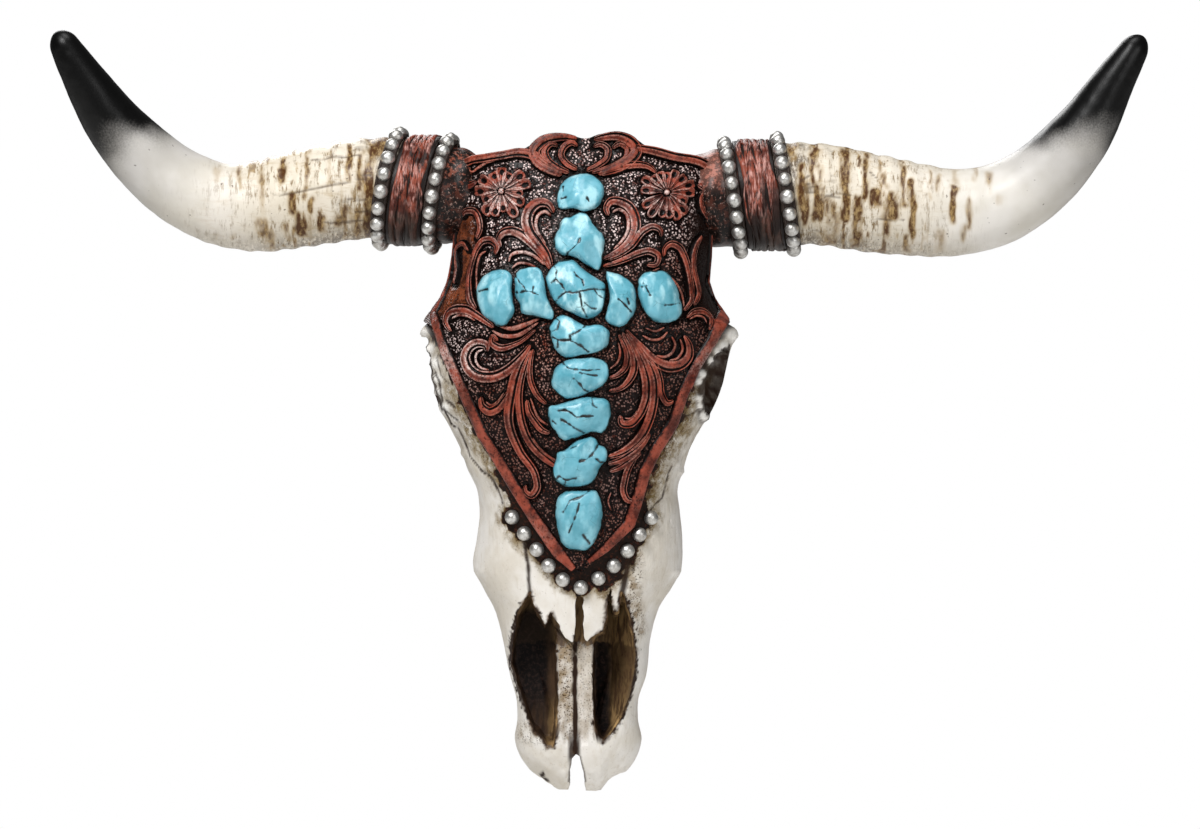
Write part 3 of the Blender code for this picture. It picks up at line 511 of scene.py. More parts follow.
eaves = opened & (below > 1.0) & (z > -146.5 + 2.0 * rough(at, 5, 2, seed=75))
black = np.where(left_in | right_in, np.maximum(ease(below + 0.5 * wander, 0.1, 1.0), within), 0.0)
black = np.maximum(black, np.where(eaves, 0.95 * ease(below, 0.8, 2.0), 0.0))
layer(skull, "hollow", black)
# Inside the nose the black gives way to brown: under the eaves, beside the bars and down the right wall.
inner_left = ease(x + wander, -17.0, -12.0) * left_in
slope = right_in * ease(x + 1.2 * wander, 12.0, 17.0)
lip = (1 - ease(mouth + 0.9 * rough(at, 2.2, 2, seed=83), 0.2, 2.4)) * (left_in | right_in) * (below > 0)
foot = ease(-z, 165, 188) * ease(-z, 140, 190)
top = np.maximum(ease(x + wander, -15, -10), ease(z + 2 * wander, -136, -128))
top = eaves * np.maximum(top, 0.25)
edging = 0.6 * ease(z + 3 * wander, -156, -140) * (right_in > 0) * ease(x, 9, 14)
rust = np.maximum.reduce([top, edging, inner_left, slope, lip, 0.9 * foot * left_in])
layer(skull, "rust", np.clip(rust, 0, 1))
layer(skull, "ochre", np.clip(slope * (0.25 + 0.9 * foot) + 0.7 * inner_left * foot + 0.35 * top, 0, 1))
# Dark paint lies in the cracks, the sockets, the suture down the nose, the notch and the chipped edges, and
# painted shade lies between the pale knobs beside the right socket.
socket = np.zeros(len(x))
for middle, radii in SOCKETS:
    socket = np.maximum(socket, np.linalg.norm((at - middle) / radii, axis=1) < 1.06)
pale = sum(np.exp(-(np.hypot(x - k[0], z - k[1]) / k[2]) ** 2) for k in [*KNOBS[:9], *KNOBS[12:18]])
# Painted shade in the hollows between the pale knobs round the right socket.
shade_between_knobs = ease(1.5 - np.linalg.norm((at - SOCKETS[0][0]) / SOCKETS[0][1], axis=1), 0.0, 0.25)
shade_between_knobs = np.where(socket > 0, 0, shade_between_knobs) * (1 - ease(pale, 0.25, 0.6)) * ease(-z, 8, 14)
crack = np.zeros(len(x))
for half, depth, line in SKULL_CRACKS:
    away = line_distance(x, z, line) + 0.25 * noise(at, 2.5, seed=15)
    crack = np.maximum(crack, (1 - ease(away, 0.5 * half, 1.7 * half)) * min(1.0, 0.5 + depth / 2))
crack *= ease(-at[:, 1], 12, 18)
suture = 1 - ease(np.abs(x + 1.9) + 0.5 * noise(at, 3, seed=61), 0.7, 1.5)
suture *= nose & front & (z < -142)
wide = (1 - ease(np.abs(x + 2.3), 1.8, 3.6)) * ease(-z, 182, 194) * (1 - ease(-z, 199, 206)) * front
notch_wall = 1 - ease(line_distance(x, z, [*NOTCH[5::-1], *NOTCH[:5:-1]]) + 0.3 * wander, 0.3, 1.0)
notch_wall *= (at[:, 1] < -4) & (z > -212)
teeth = mouth + 1.5 * rough(at, 1.5, 2, seed=79) - 0.9 * (np.abs(x + 4) > 23)
stray = (1 - ease(teeth, 0.1, 0.7)) * (below < 3)
chip = np.hypot((x + 15.2 + 0.8 * wander) / 2.7, (z + 209.2 + 0.5 * wander) / 2.3)
chip = 1.5 * np.exp(-((chip - 0.8) / 0.42) ** 2) * front * ease(-x - 0.5 * z - 0.9 * wander, 119.2, 120.6)
speckled = (0.93 + 0.14 * rough(at, 2.5, 3, seed=87)) * socket
layer(skull, "brown", np.maximum.reduce([
    crack, suture, 0.95 * wide, speckled, stray, chip, 0.9 * shade_between_knobs, 0.7 * notch_wall,
]).clip(0, 1))
slot = inside(x, z, [(-2.6, -119), (3.0, -119), (3.2, -144), (-2.6, -144)]) & (below > 0.6) & front
umber = 0.85 * (1 - ease(mouth + 0.9 * rough(at, 2.0, 2, seed=85), 0.1, 1.8)) * (below < 3)
layer(skull, "umber", np.maximum(umber, slot))
# Beside the cover and the stud row the bone is painted nearly black, as grime and as painted shade under
# their edges, and round it lies an olive wash.
from_edge = line_distance(x, z, [*EDGE_LEFT, *EDGE_RIGHT[::-1][1:]])
from_row = line_distance(x, z, ROW_LINE)
uneven = 1.8 * rough(at, 3.2, 3, seed=63)
under = inside(x, z, [*ROW_LINE, *EDGE_RIGHT[7:], *EDGE_LEFT[::-1][1:4]])
spill = 3.4 * ease(x, 2, 14) * (1 - ease(x, 24, 31)) + 1.6 * (1 - ease(x, -30, -24))
left_low = 2.8 * (x < 0) * ease(-z, 60, 74)
grime_and_shade = np.maximum.reduce([
    1 - ease(from_edge + uneven - left_low, 0.2, 2.6), 1 - ease(from_row + uneven - spill, 1.2, 4.4),
    0.45 * (x > 0) * (1 - ease(from_edge + uneven, 1.0, 5.5)), under,
])
layer(skull, "grime_and_shade", np.where(z < 6, grime_and_shade, 0.4 * grime_and_shade) * (at[:, 1] < -30))
brow_side = ease(-z + 3 * wander, 20, 30) * (1 - ease(-z, 54, 66)) * (x < 0)
olive = 1 - ease(from_edge + 5.0 * rough(at, 14, 3, seed=65), 1.0, 12.0)
olive *= 1 - 0.3 * (x < 0) * ease(z, -62, -46)
olive = np.maximum.reduce([
    olive, (1 - ease(from_edge + 1.5 * uneven, 3.0, 13.0)) * (x > 0),
    1 - ease(from_row + uneven - 1.3 * spill, 2.6, 7.5),
    brow_side * (1 - ease(from_edge + 1.3 * uneven, 3.0, 9.0)),
])
layer(skull, "olive", olive * (z < 4) * (at[:, 1] < -30))
# The bars are tan, and tan dust with brown specks lies along them, round the nose's foot and below the row.
bars = between & (below > 1.2) & ~eaves & (at[:, 1] < -30)
layer(skull, "tan", np.where(bars, 0.25 + 0.22 * (x < -2) + 0.8 * (1 - ease(-z, 144, 152)), 0).clip(0, 1))
middle_bar = 0.75 + 0.25 * ease(-z, 146, 152) * (1 - ease(-z, 172, 182))
middle_bar = bars * (x < -2) * middle_bar + 0.5 * bars * (x > -2)
rim = [line_distance(x, z, part) for part in (NOSE_OPENING[42:] + NOSE_OPENING[:2], NOSE_OPENING[22:36])]
below_row = line_distance(x, z, [(26, -98), (26.5, -112), (25.5, -124), (28, -140)])
left_lobe = np.hypot((x + 22) / 9, (z + 188) / 6)
dust = np.maximum.reduce([
    0.9 * (1 - ease(below_row, 1.0, 5.5)), middle_bar,
    0.8 * (1 - ease(np.minimum(*rim), 0.5, 3.0)) * (z < -186),
    0.7 * olive * (z < 4), 0.8 * (1 - ease(left_lobe, 0.5, 1.3)),
])
layer(skull, "dust", dust * (at[:, 1] < -12))
layer(skull, "pale", np.clip(1.4 * pale, 0, 1))


def add(tree, kind, inputs=None, **settings):
    """Adds a shader node with its settings and links; an input is a value or another node's output."""
    made = tree.nodes.new(kind)
    for key, value in settings.items():
        setattr(made, key, value)
    for key, value in (inputs or {}).items():
        if isinstance(value, bpy.types.NodeSocket):
            tree.links.new(value, made.inputs[key])
        else:
            made.inputs[key].default_value = value
    return made


def linear(code):
    """A screen colour turned linear."""
    values = [int(code[i:i + 2], 16) / 255 for i in (1, 3, 5)]
    return (*[v / 12.92 if v <= 0.04045 else ((v + 0.055) / 1.055) ** 2.4 for v in values], 1)


class Paint:
    """A paint job: a first colour, and coats laid over it that each show only in some places.

    A coat's places are the product of its parts. A part is a number, a pattern, the name of a layer that the
    piece stores, or (one of these, low, high), which rises from 0 to 1 between low and high.
    """

    def __init__(self, name, first, roughness, specular=0.5, metallic=0.0):
        self.material = bpy.data.materials.new(name)
        self.material.use_nodes = True
        self.tree = self.material.node_tree
        self.shader = self.tree.nodes["Principled BSDF"]
        self.base, self.normal = first, None
        self.shader.inputs["Roughness"].default_value = roughness
        self.shader.inputs["Specular IOR Level"].default_value = specular
        self.shader.inputs["Metallic"].default_value = metallic

    def place(self, stretch=(1, 1, 1), seed=0.0):
        """Where a point lies on the piece, in metres, for the patterns."""
        here = add(self.tree, "ShaderNodeTexCoord").outputs["Object"]
        moved = {"Vector": here, "Scale": stretch, "Location": (seed, seed, seed)}
        return add(self.tree, "ShaderNodeMapping", moved).outputs[0]

    def grain(self, size, detail=3.0, roughness=0.55, stretch=(1, 1, 1), seed=0.0):
        """A cloudy pattern whose lumps are about size millimetres wide."""
        return add(self.tree, "ShaderNodeTexNoise", {
            "Vector": self.place(stretch, seed), "Scale": 1 / (size * MM), "Detail": detail,
            "Roughness": roughness,
        }).outputs["Fac"]

    def cells(self, size, stretch=(1, 1, 1), output="Distance", **settings):
        """A pattern of cells about size millimetres wide."""
        return add(self.tree, "ShaderNodeTexVoronoi", {
            "Vector": self.place(stretch), "Scale": 1 / (size * MM),
        }, **settings).outputs[output]

    def share(self, *parts):
        """How much of a coat shows, from 0 to 1."""
        total = None
        for part in parts:
            part, *ends = part if isinstance(part, tuple) else (part,)
            if isinstance(part, str):
                part = add(self.tree, "ShaderNodeAttribute", attribute_name=part).outputs["Fac"]
            if ends:
                part = add(self.tree, "ShaderNodeMapRange", {0: part, 1: ends[0], 2: ends[1]},
                           interpolation_type="SMOOTHSTEP").outputs[0]
            if total is not None:
                part = add(self.tree, "ShaderNodeMath", {0: total, 1: part}, operation="MULTIPLY",
                           use_clamp=True).outputs[0]
            total = part
        return total

    def frayed(self, name, pattern, by):
        """A stored layer with its edge broken up by a pattern."""
        return add(self.tree, "ShaderNodeMath", {0: pattern, 1: by, 2: self.share(name)},
                   operation="MULTIPLY_ADD").outputs[0]

    def mix(self, under, over, *parts):
        """One colour laid over another; a colour is a screen code or another mix."""
        under, over = (linear(tone) if isinstance(tone, str) else tone for tone in (under, over))
        return add(self.tree, "ShaderNodeMix", {0: self.share(*parts), 6: under, 7: over},
                   data_type="RGBA").outputs[2]

    def coat(self, tone, *parts):
        """Lays a colour over what the paint has so far."""
        self.base = self.mix(self.base, tone, *parts)
        self.tree.links.new(self.base, self.shader.inputs["Base Color"])

    def relief(self, height, depth):
        """Adds fine relief of so many millimetres to the shading."""
        inputs = {"Height": height, "Distance": depth * MM, "Strength": 1.0}
        if self.normal is not None:
            inputs["Normal"] = self.normal
        self.normal = add(self.tree, "ShaderNodeBump", inputs).outputs[0]
        self.tree.links.new(self.normal, self.shader.inputs["Normal"])


def finished(obj, paint, slot, *nodes):
    """Gives a piece its paint, ties it to the model and lets it stand for the solids that it details."""
    obj.data.materials.clear()
    obj.data.materials.append(paint.material)
    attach(obj, "root")
    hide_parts(*nodes)


# Satin acrylic paint on cast resin, ivory with cloudy darker parts 26 mm wide and streaks 3 mm wide down the
# bone, a tenth of a millimetre deep. Its washes dry in specks of 1 to 2 mm. Inside the nose it is nearly
# black, with pits 2 mm wide.
bone = Paint("aged_bone_paint", "#e4e0da", roughness=0.55, specular=0.12)
streak = bone.grain(3.0, 4, 0.65, stretch=(1, 1, 0.22), seed=3.1)
bone.coat("#d3ccc0", (bone.grain(26, 4, 0.6), 0.35, 0.65))
bone.coat("#b5a78f", (streak, 0.52, 0.72), 0.30)
bone.coat("#826a4c", "tan", (streak, 0.2, 0.6))
bone.coat("#7d6b45", "olive", (bone.grain(4.5, 5, 0.75, seed=1.3), 0.32, 0.60))
bone.coat("#6d5a40", (bone.grain(1.1, 2, 0.5, seed=7.7), 0.66, 0.74), 0.30)
bone.coat("#8d7a5f", "dust", (bone.grain(5, 3, 0.6, seed=3.3), 0.35, 0.7))
speckle = bone.share((bone.cells(0.95), 0.46, 0.34), (bone.grain(2.1, 4, 0.75, seed=2.9), 0.44, 0.54))
bone.coat("#3a2611", "dust", speckle, 0.95)
# Nearly black grime and painted shade beside the cover and round the stud row, with a browner fringe.
edge_of_grime_and_shade = bone.frayed("grime_and_shade", bone.grain(1.6, 4, 0.75, seed=5.3), 1.1)
bone.coat("#5b4426", (edge_of_grime_and_shade, 0.70, 0.90), 0.85)
grime_and_shade_tone = bone.mix("#160a06", "#4a2416", (bone.grain(1.7, 4, 0.75, seed=9.9), 0.52, 0.64))
bone.coat(grime_and_shade_tone, (edge_of_grime_and_shade, 0.92, 1.06), 0.98)
umber_tone = bone.mix("#644a2d", "#3b2715", (streak, 0.38, 0.60))
bone.coat(bone.mix(umber_tone, "#765433", ("umber", 0.87, 1.0)), "umber")
bone.coat("#f3f0ea", "pale")
bone.coat("#28180e", "brown")
pitted = bone.mix("#0d0807", "#2c1f1b", (bone.grain(1.8, 4, 0.7, seed=6.9), 0.45, 0.66))
inner = bone.mix("#4b3726", "#2c1f17", (streak, 0.35, 0.65))
inner = bone.mix(inner, "#ab8b5e", "ochre", (streak, 0.38, 0.56))
bone.coat(bone.mix(pitted, inner, "rust"), "hollow")
bone.relief(streak, 0.18)
bone.relief(bone.grain(0.9, 3, 0.6, stretch=(1, 1, 0.5)), 0.10)
finished(skull, bone, "bone", "skull")


# Cover: the forehead and temples are cast as a sheet of thick tooled leather, some 3 mm proud of the bone,
# painted red-brown over a blackened ground and rubbed pale on the raised work; the pale is partly a painted
# highlight, and the dark wash in the lows and beside the raised work is partly painted shade. Above the brow
# its front stands clear of the skull in a crest, so its sections follow their own line there.
LEATHER_LIFT = 3.3
SCALP = np.array([
    *[(z, shift, half + LEATHER_LIFT, crown + LEATHER_LIFT, side, back, square)
      for z, shift, half, crown, side, back, square in SKULL if z < 60],
    (71, 2.8, 60.1, 64, 29, 46, 2.9), (79.6, 3, 60.3, 60.4, 29, 46, 2.9),
    (86, 3, 60.3, 58.4, 29, 46, 2.9), (94, 3, 60.3, 57, 29, 46, 2.9),
])
TOP_EDGE = [
    (-57, 79.6), (-40, 82.2), (-26, 84.4), (-21, 87), (-12, 90.8), (-4, 90.6), (2.8, 89),
    (9.5, 91.2), (17, 92), (24.5, 90.2), (30, 86.4), (44, 82.4), (63.5, 79.6),
]
CREST_FROM, CREST_BACK, COVER_BACK = 70.0, 42.0, 22.0
# The tooled scrolls: x, z and half width along each, seen from the front.
STRAPS = [
    [(-0.7, 85.3, 0.7), (-3.3, 86.8, 1.2), (-6.8, 84.9, 1.4), (-8.2, 80.9, 1.3), (-5.8, 77.1, 1.2),
     (-0.9, 74.1, 0.9)],
    [(6.7, 84.9, 0.7), (9.8, 86.1, 1.2), (13.3, 83.9, 1.4), (13, 79.7, 1.3), (8.9, 76.1, 1.2),
     (3.6, 73.6, 0.9)],
    [(-9.8, 85.3, 0.7), (-12.8, 86.3, 1.2), (-15.8, 82.9, 1.4), (-14.5, 78.7, 1.4), (-10.4, 75.1, 1.4),
     (-4.7, 72.7, 0.9)],
    [(15.4, 84.3, 0.7), (19.1, 86.4, 1.2), (22.6, 83.9, 1.4), (22.1, 79.7, 1.4), (17.6, 76.4, 1.4),
     (6.1, 72.7, 0.7)],
    [(-0.9, 88.7, 1), (-6.8, 89.5, 1.5), (-18.2, 86.4, 2.3), (-20.8, 82.6, 2.4), (-19, 78.2, 2.4),
     (-13.5, 74.4, 2.2), (-7.9, 71.8, 1.4)],
    [(7, 88.4, 1), (11.8, 89.5, 1.5), (18.6, 89.8, 1.9), (24.7, 86.6, 2.3), (26.6, 82.6, 2.4),
     (24.2, 78.9, 2.4), (18.1, 75.1, 2.2), (9.8, 72.2, 1.4)],
    [(-13, 75.2, 1.4), (-21.4, 80.9, 2), (-27.5, 82.1, 1.9), (-35.4, 81, 1.8), (-43.3, 79.8, 1.8),
     (-50.3, 78.6, 1.8), (-54.8, 75.6, 1.9), (-56.2, 71.4, 2), (-54.4, 67.6, 2), (-50.3, 67.1, 1.5),
     (-47.3, 69, 0.8)],
    [(26, 84.6, 1.4), (35.4, 82.8, 1.8), (43.3, 80.6, 1.8), (58, 77.2, 1.9), (62.6, 73, 2.1),
     (62.6, 68.4, 2.2), (59, 65.8, 1.9), (55, 67.4, 1)],
    [(8.9, 72.2, 1.2), (15.4, 74.8, 1.6), (21.9, 76, 1.6), (32.6, 75.3, 1.1), (35.9, 72.7, 0.6)],
    [(-11.7, 54.1, 0.9), (-14, 57.6, 1.5), (-17.9, 58.5, 2), (-22.1, 55.7, 2.3), (-24, 50.3, 2.4),
     (-22.4, 44.7, 2.2), (-18.6, 39.6, 2), (-14.9, 34.3, 1.6), (-12.6, 28.4, 0.9)],
    [(-36.1, 38.2, 0.7), (-37, 41.5, 1.2), (-35.4, 44.3, 1.6), (-31.2, 45.5, 1.8), (-27, 44.1, 1.9),
     (-22.8, 40.4, 1.6), (-15.4, 31.7, 1), (-13.3, 27.7, 0.6)],
    [(-38.7, 34.7, 0.7), (-37.7, 38.4, 1.2), (-40.5, 41.3, 1.5), (-43.8, 41, 1.5), (-46.6, 37.7, 1.5),
     (-48.5, 32.6, 1.4), (-50.6, 19.6, 1.5), (-49.9, 13.5, 1.5), (-47.5, 9.3, 0.9)],
    [(-53.8, 52.7, 0.7), (-52.2, 55, 1.2), (-48.9, 55.2, 1.4), (-45.4, 46.6, 1.4), (-47.1, 41.9, 1)],
    [(-56.9, 68, 0.7), (-55.5, 62.9, 1.2), (-55.7, 56.9, 1.3), (-57.3, 51.3, 1.4), (-58.9, 46.1, 1.2)],
    [(-51.3, 36.8, 0.6), (-53.8, 40.1, 0.9), (-56.2, 38.7, 1.1), (-56.9, 33.6, 1.1), (-56.6, 27.5, 1.1),
     (-57.8, 21.4, 0.9)],
    [(13.7, 52.7, 0.8), (12.7, 55.9, 1.2), (14.2, 58.7, 1.5), (22.4, 57.3, 1.9), (26.3, 47.1, 2),
     (24.2, 41.5, 1.9), (15.1, 34, 1.2), (11.2, 32.4, 0.7)],
    [(38.2, 42.9, 0.7), (37.3, 46.1, 1.1), (34, 47.5, 1.4), (30.3, 45.9, 1.5), (23.8, 38.2, 1.4),
     (19.1, 34.7, 1.1), (13.5, 32.2, 0.7)],
    [(31.5, 29.8, 0.8), (35.4, 30.1, 1.3), (36.3, 33.8, 1.4), (32.6, 36, 1.5), (27.5, 35, 1.5),
     (21.9, 32.5, 1.3), (16.3, 30.4, 1), (11.2, 29.1, 0.6)],
    [(39.1, 33.8, 0.7), (39.6, 37.3, 1), (42.4, 39.6, 1.3), (46.1, 38.1, 1.4), (48.5, 33.8, 1.4),
     (51, 23.3, 1.4), (51.7, 17.7, 1.4), (51.5, 13, 1), (48.5, 8.6, 0.7)],
    [(56.9, 43.8, 0.7), (54.3, 39.6, 1.2), (52.7, 28, 1.3), (54.1, 21.9, 1.4), (55, 16.3, 1.4),
     (53.1, 11.2, 0.7)],
    [(58.2, 64.8, 0.7), (56.4, 61, 1), (56.9, 56.4, 1.1), (59.2, 52.2, 0.8)],
    [(-58.9, -0.7, 0.7), (-61.4, 2.8, 1.3), (-60.1, 7.2, 1.7), (-51.3, 8.9, 1.9), (-47.1, 6.5, 1.7),
     (-42.9, 3.5, 1.4), (-39.1, 0.9, 0.8)],
    [(-42.2, -10.3, 0.8), (-42.6, -7.4, 1.5), (-46.1, -6.3, 1.9), (-49.9, -8.2, 2.2), (-52, -12.6, 2.4),
     (-50.6, -17.7, 2.4), (-46.6, -21.1, 2.4), (-40.5, -21.9, 2.3), (-25.6, -11.7, 1.5),
     (-22.4, -7.2, 0.8)],
    [(-37.5, -5.4, 0.7), (-39.4, -3, 1), (-40.2, -5.8, 1.2), (-37.7, -8.1, 1.4), (-28.4, -6.5, 1),
     (-20, -0.2, 0.5)],
    [(-45.2, -31.2, 0.9), (-44.5, -35.2, 1.5), (-41.2, -37.7, 1.8), (-37.3, -36.3, 1.8), (-34, -32.2, 1.5),
     (-31, -27.3, 0.8)],
    [(49.9, 5.4, 0.6), (52.7, 8, 1.1), (56.9, 8.2, 1.4), (61.5, 2.6, 1.2), (60.3, -0.2, 0.7)],
    [(48.7, -2.8, 0.7), (50.8, -7.7, 1.4), (50.3, -12.8, 2), (46.6, -16.3, 2.2), (41.5, -17.2, 2.3),
     (36.3, -15.4, 2), (28.4, -7.9, 1.3), (21.7, -0.2, 0.6)],
    [(-22.6, -9.3, 0.7), (-26.3, -14.9, 1.3), (-29.4, -22.4, 2), (-30.8, -28.9, 2.1), (-32.2, -41.9, 2),
     (-27.3, -55.9, 1.7), (-19.8, -68, 1.5), (-19.3, -73.6, 1.5), (-21.9, -76.7, 1.4), (-24.7, -74.6, 1),
     (-24.5, -72, 0.6)],
    [(-21.9, -9.8, 0.6), (-24.7, -16.8, 1.1), (-27.5, -32.2, 1.5), (-21.9, -52.9, 1.6), (-12.6, -61.7, 1.3),
     (-9.3, -63.8, 0.8)],
    [(-21, -9.3, 0.6), (-22.4, -15.8, 1), (-22.4, -22.8, 1.2), (-17.7, -32.2, 0.9), (-14.9, -34.5, 0.6)],
    [(-24, -32.6, 0.7), (-23.1, -38, 1.2), (-20.3, -42.6, 1.3), (-16.8, -46.6, 1.2), (-13.3, -48, 0.7)],
    [(18.6, -2.3, 0.6), (22.4, -12.8, 1.3), (21.4, -17.7, 1.3), (17.7, -21.2, 1), (14, -22.6, 0.6)],
    [(20.3, -1.4, 0.6), (25.2, -13, 1.5), (25.2, -19.3, 1.6), (18.2, -27.7, 0.9), (14, -28.4, 0.6)],
    [(22.1, -1.9, 0.6), (25.4, -7.5, 1.1), (30.1, -34.3, 1.8), (27.3, -40.1, 1.6), (23.5, -43.6, 1.6),
     (19.8, -43.3, 1.4), (18.9, -39.8, 0.8)],
    [(24.2, -2.8, 0.6), (31.2, -14.4, 1.5), (33.8, -21.4, 1.7), (31.9, -42.6, 1.9), (28.7, -48.9, 1.9),
     (18.6, -57.3, 1.3), (13.7, -58.9, 0.8)],
    [(26.8, -5.6, 0.6), (31.2, -11.4, 1), (35.2, -17.2, 1.3), (37.3, -24, 1.4), (38.2, -30.3, 1.3),
     (40.8, -34, 1.2), (43.8, -32.9, 0.7)],
    [(13.5, -62.2, 0.7), (18.6, -60.7, 1.2), (28.9, -52.9, 1.5), (32.6, -47.8, 0.9)],
    [(14.2, -65.7, 0.7), (18.9, -63.8, 1.1), (24, -60.3, 1.3), (28.4, -56.4, 1.1)],
    [(26.1, -59.2, 0.8), (22.8, -64.1, 1.3), (21, -69.9, 1.4), (20.5, -75, 1.4), (22.6, -79, 1.3),
     (25.6, -79.5, 0.7)],
]
# Thin raised lines between the scrolls.
FINE_STRAPS = [
    [(-12.8, 52.4, 0.6), (-15.6, 54.4, 0.8), (-18.7, 52.9, 0.8), (-19.9, 48.9, 0.8), (-15.4, 39.1, 0.5)],
    [(-32.4, 31.2, 0.4), (-31.3, 34.1, 0.7), (-24.2, 35.4, 0.9), (-20, 33.4, 0.7), (-15.8, 29.8, 0.5)],
    [(-31, 28.2, 0.4), (-28, 30.4, 0.6), (-23.8, 30.3, 0.6), (-19.6, 28.5, 0.4)],
    [(-42.9, 36.3, 0.4), (-45.2, 34.7, 0.6), (-46.7, 30.3, 0.6), (-47.1, 17.7, 0.4)],
    [(-37.3, 79, 0.4), (-42.4, 77.8, 0.6), (-46.6, 75.4, 0.6), (-49.6, 73.5, 0.5), (-51.5, 75.3, 0.4)],
    [(15.6, 54.3, 0.5), (18.4, 55.5, 0.7), (21.4, 53.8, 0.8), (22.4, 45.2, 0.8), (19.6, 40.5, 0.7),
     (16.1, 37, 0.4)],
    [(37.3, 28.4, 0.4), (34, 26.6, 0.5), (39.6, 25.2, 0.6), (44.7, 21.4, 0.6), (47.5, 15.8, 0.6),
     (48.5, 10.3, 0.4)],
    [(-44, -9.3, 0.4), (-46.7, -10.5, 0.6), (-47.6, -14, 0.6), (-45.7, -17.4, 0.6), (-41.5, -18.9, 0.4)],
    [(-40.1, -0.5, 0.5), (-35.4, -2.8, 1), (-29.8, -3.1, 1), (-18.6, 3, 0.4)],
    [(-36.8, 1.4, 0.5), (-31.2, 0.3, 1), (-24.7, 2.1, 1), (-18.2, 4.9, 0.5)],
    [(42.9, -3.3, 0.4), (44.4, -7, 0.6), (43, -10.7, 0.7), (39.4, -12.7, 0.7), (35.6, -12.1, 0.5)],
    [(46.8, -4.4, 0.4), (47.8, -9.3, 0.6), (45.4, -13.3, 0.6), (41.5, -14.4, 0.4)],
    [(29.4, -2.8, 0.4), (33.1, -4.7, 0.6), (37.7, -4.3, 0.6), (41, -1.2, 0.4)],
    [(30.8, 0.5, 0.3), (35.4, -0.9, 0.5), (39.6, 0.9, 0.3)],
    [(-43.1, -33.3, 0.4), (-40.5, -35, 0.5), (-37.4, -33.2, 0.5), (-34.7, -29.4, 0.3)],
    [(-21.7, -49.9, 0.4), (-18.6, -54.5, 0.6), (-14.4, -58.5, 0.6), (-10.3, -60.8, 0.4)],
    [(-22.4, -31.7, 0.3), (-17.7, -41.9, 0.6), (-14.2, -44.3, 0.4)],
    [(18.2, -6.1, 0.3), (19.1, -10.7, 0.5), (17.7, -15.4, 0.5), (14.4, -18.2, 0.4)],
    [(21.2, -41, 0.3), (23.8, -41.2, 0.5), (27, -37.7, 0.5), (28.7, -33.1, 0.4)],
    [(51.3, 4.7, 0.3), (54.5, 6.2, 0.5), (57.8, 5.2, 0.5), (59.2, 2.8, 0.3)],
    [(-58.9, 4.9, 0.4), (-55.9, 6.4, 0.6), (-51.5, 6.1, 0.6), (-48, 4, 0.4)],
    [(58, 58.2, 0.3), (58.5, 54.1, 0.5), (60.1, 50.3, 0.3)],
    [(14.9, -75.5, 0.3), (13.5, -79.2, 0.4), (14.9, -83.9, 0.3)],
]
# The two blossoms: middle, half width of a lobe, and for each lobe its direction from +x and its length.
BLOSSOMS = [
    ((-36, 64.2), 2.7, [
        (148, 12), (180, 12.2), (207, 9.8), (234, 13.4), (254, 12.2), (276, 9.8), (300, 14), (330, 12.2),
        (352, 10.2), (15, 14.2), (39, 13.6), (63, 9.6), (88, 11.2), (115, 9.8)]),
    ((40.8, 63.6), 2.3, [
        (151, 13.4), (174, 12.2), (211, 13.2), (234, 14.2), (257, 12), (276, 12.2), (293, 13.8), (313, 13.4),
        (334, 10.4), (359, 12.8), (19, 13.4), (42, 11.7), (68, 11.4), (92, 9.6), (112, 10.4), (133, 10.4)]),
]
# Profiles across a strap: place, height, darkness of the wash and painted shade, and rub of the pale paint
# and painted highlight.
STRAP_PROFILE = [
    (-1.44, -0.6, 1, 0), (-1.28, 0.2, 1, 0), (-1.14, 0.78, 0.5, 0.3), (-1.02, 1, 0.05, 1),
    (-0.88, 0.92, 0.3, 0.3), (-0.74, 0.55, 0.9, 0), (-0.6, 0.35, 1, 0), (-0.44, 0.6, 0.9, 0),
    (-0.3, 0.95, 0.3, 0.5), (-0.16, 1.1, 0.05, 0.9), (0.1, 1.16, 0.18, 0.25), (0.36, 1.12, 0.32, 0),
    (0.62, 1, 0.34, 0), (0.86, 0.92, 0.15, 0.5), (1.02, 0.9, 0, 1), (1.14, 0.7, 0.5, 0.3),
    (1.28, 0.2, 1, 0), (1.44, -0.6, 1, 0),
]
LINE_PROFILE = [(-1.5, -0.6, 1, 0), (-1.2, 0.4, 0.9, 0), (-0.7, 0.95, 0.1, 0.7), (0, 1.1, 0, 1),
                (0.7, 0.95, 0.1, 0.7), (1.2, 0.4, 0.9, 0), (1.5, -0.6, 1, 0)]
PETAL_PROFILE = [
    (-1.14, -0.6, 1, 0), (-1.02, 0.5, 1, 0), (-0.88, 1.05, 0.1, 1), (-0.7, 0.96, 0.3, 0.7),
    (-0.52, 0.5, 0.8, 0), (-0.34, 0.42, 0.45, 0.1), (-0.18, 0.5, 0.3, 0.3), (-0.08, 0.3, 0.95, 0),
    (0, 0.1, 1, 0), (0.08, 0.3, 0.95, 0), (0.18, 0.5, 0.3, 0.3), (0.34, 0.42, 0.45, 0.1),
    (0.52, 0.5, 0.8, 0), (0.7, 0.96, 0.3, 0.7), (0.88, 1.05, 0.1, 1), (1.02, 0.5, 1, 0),
    (1.14, -0.6, 1, 0),
]
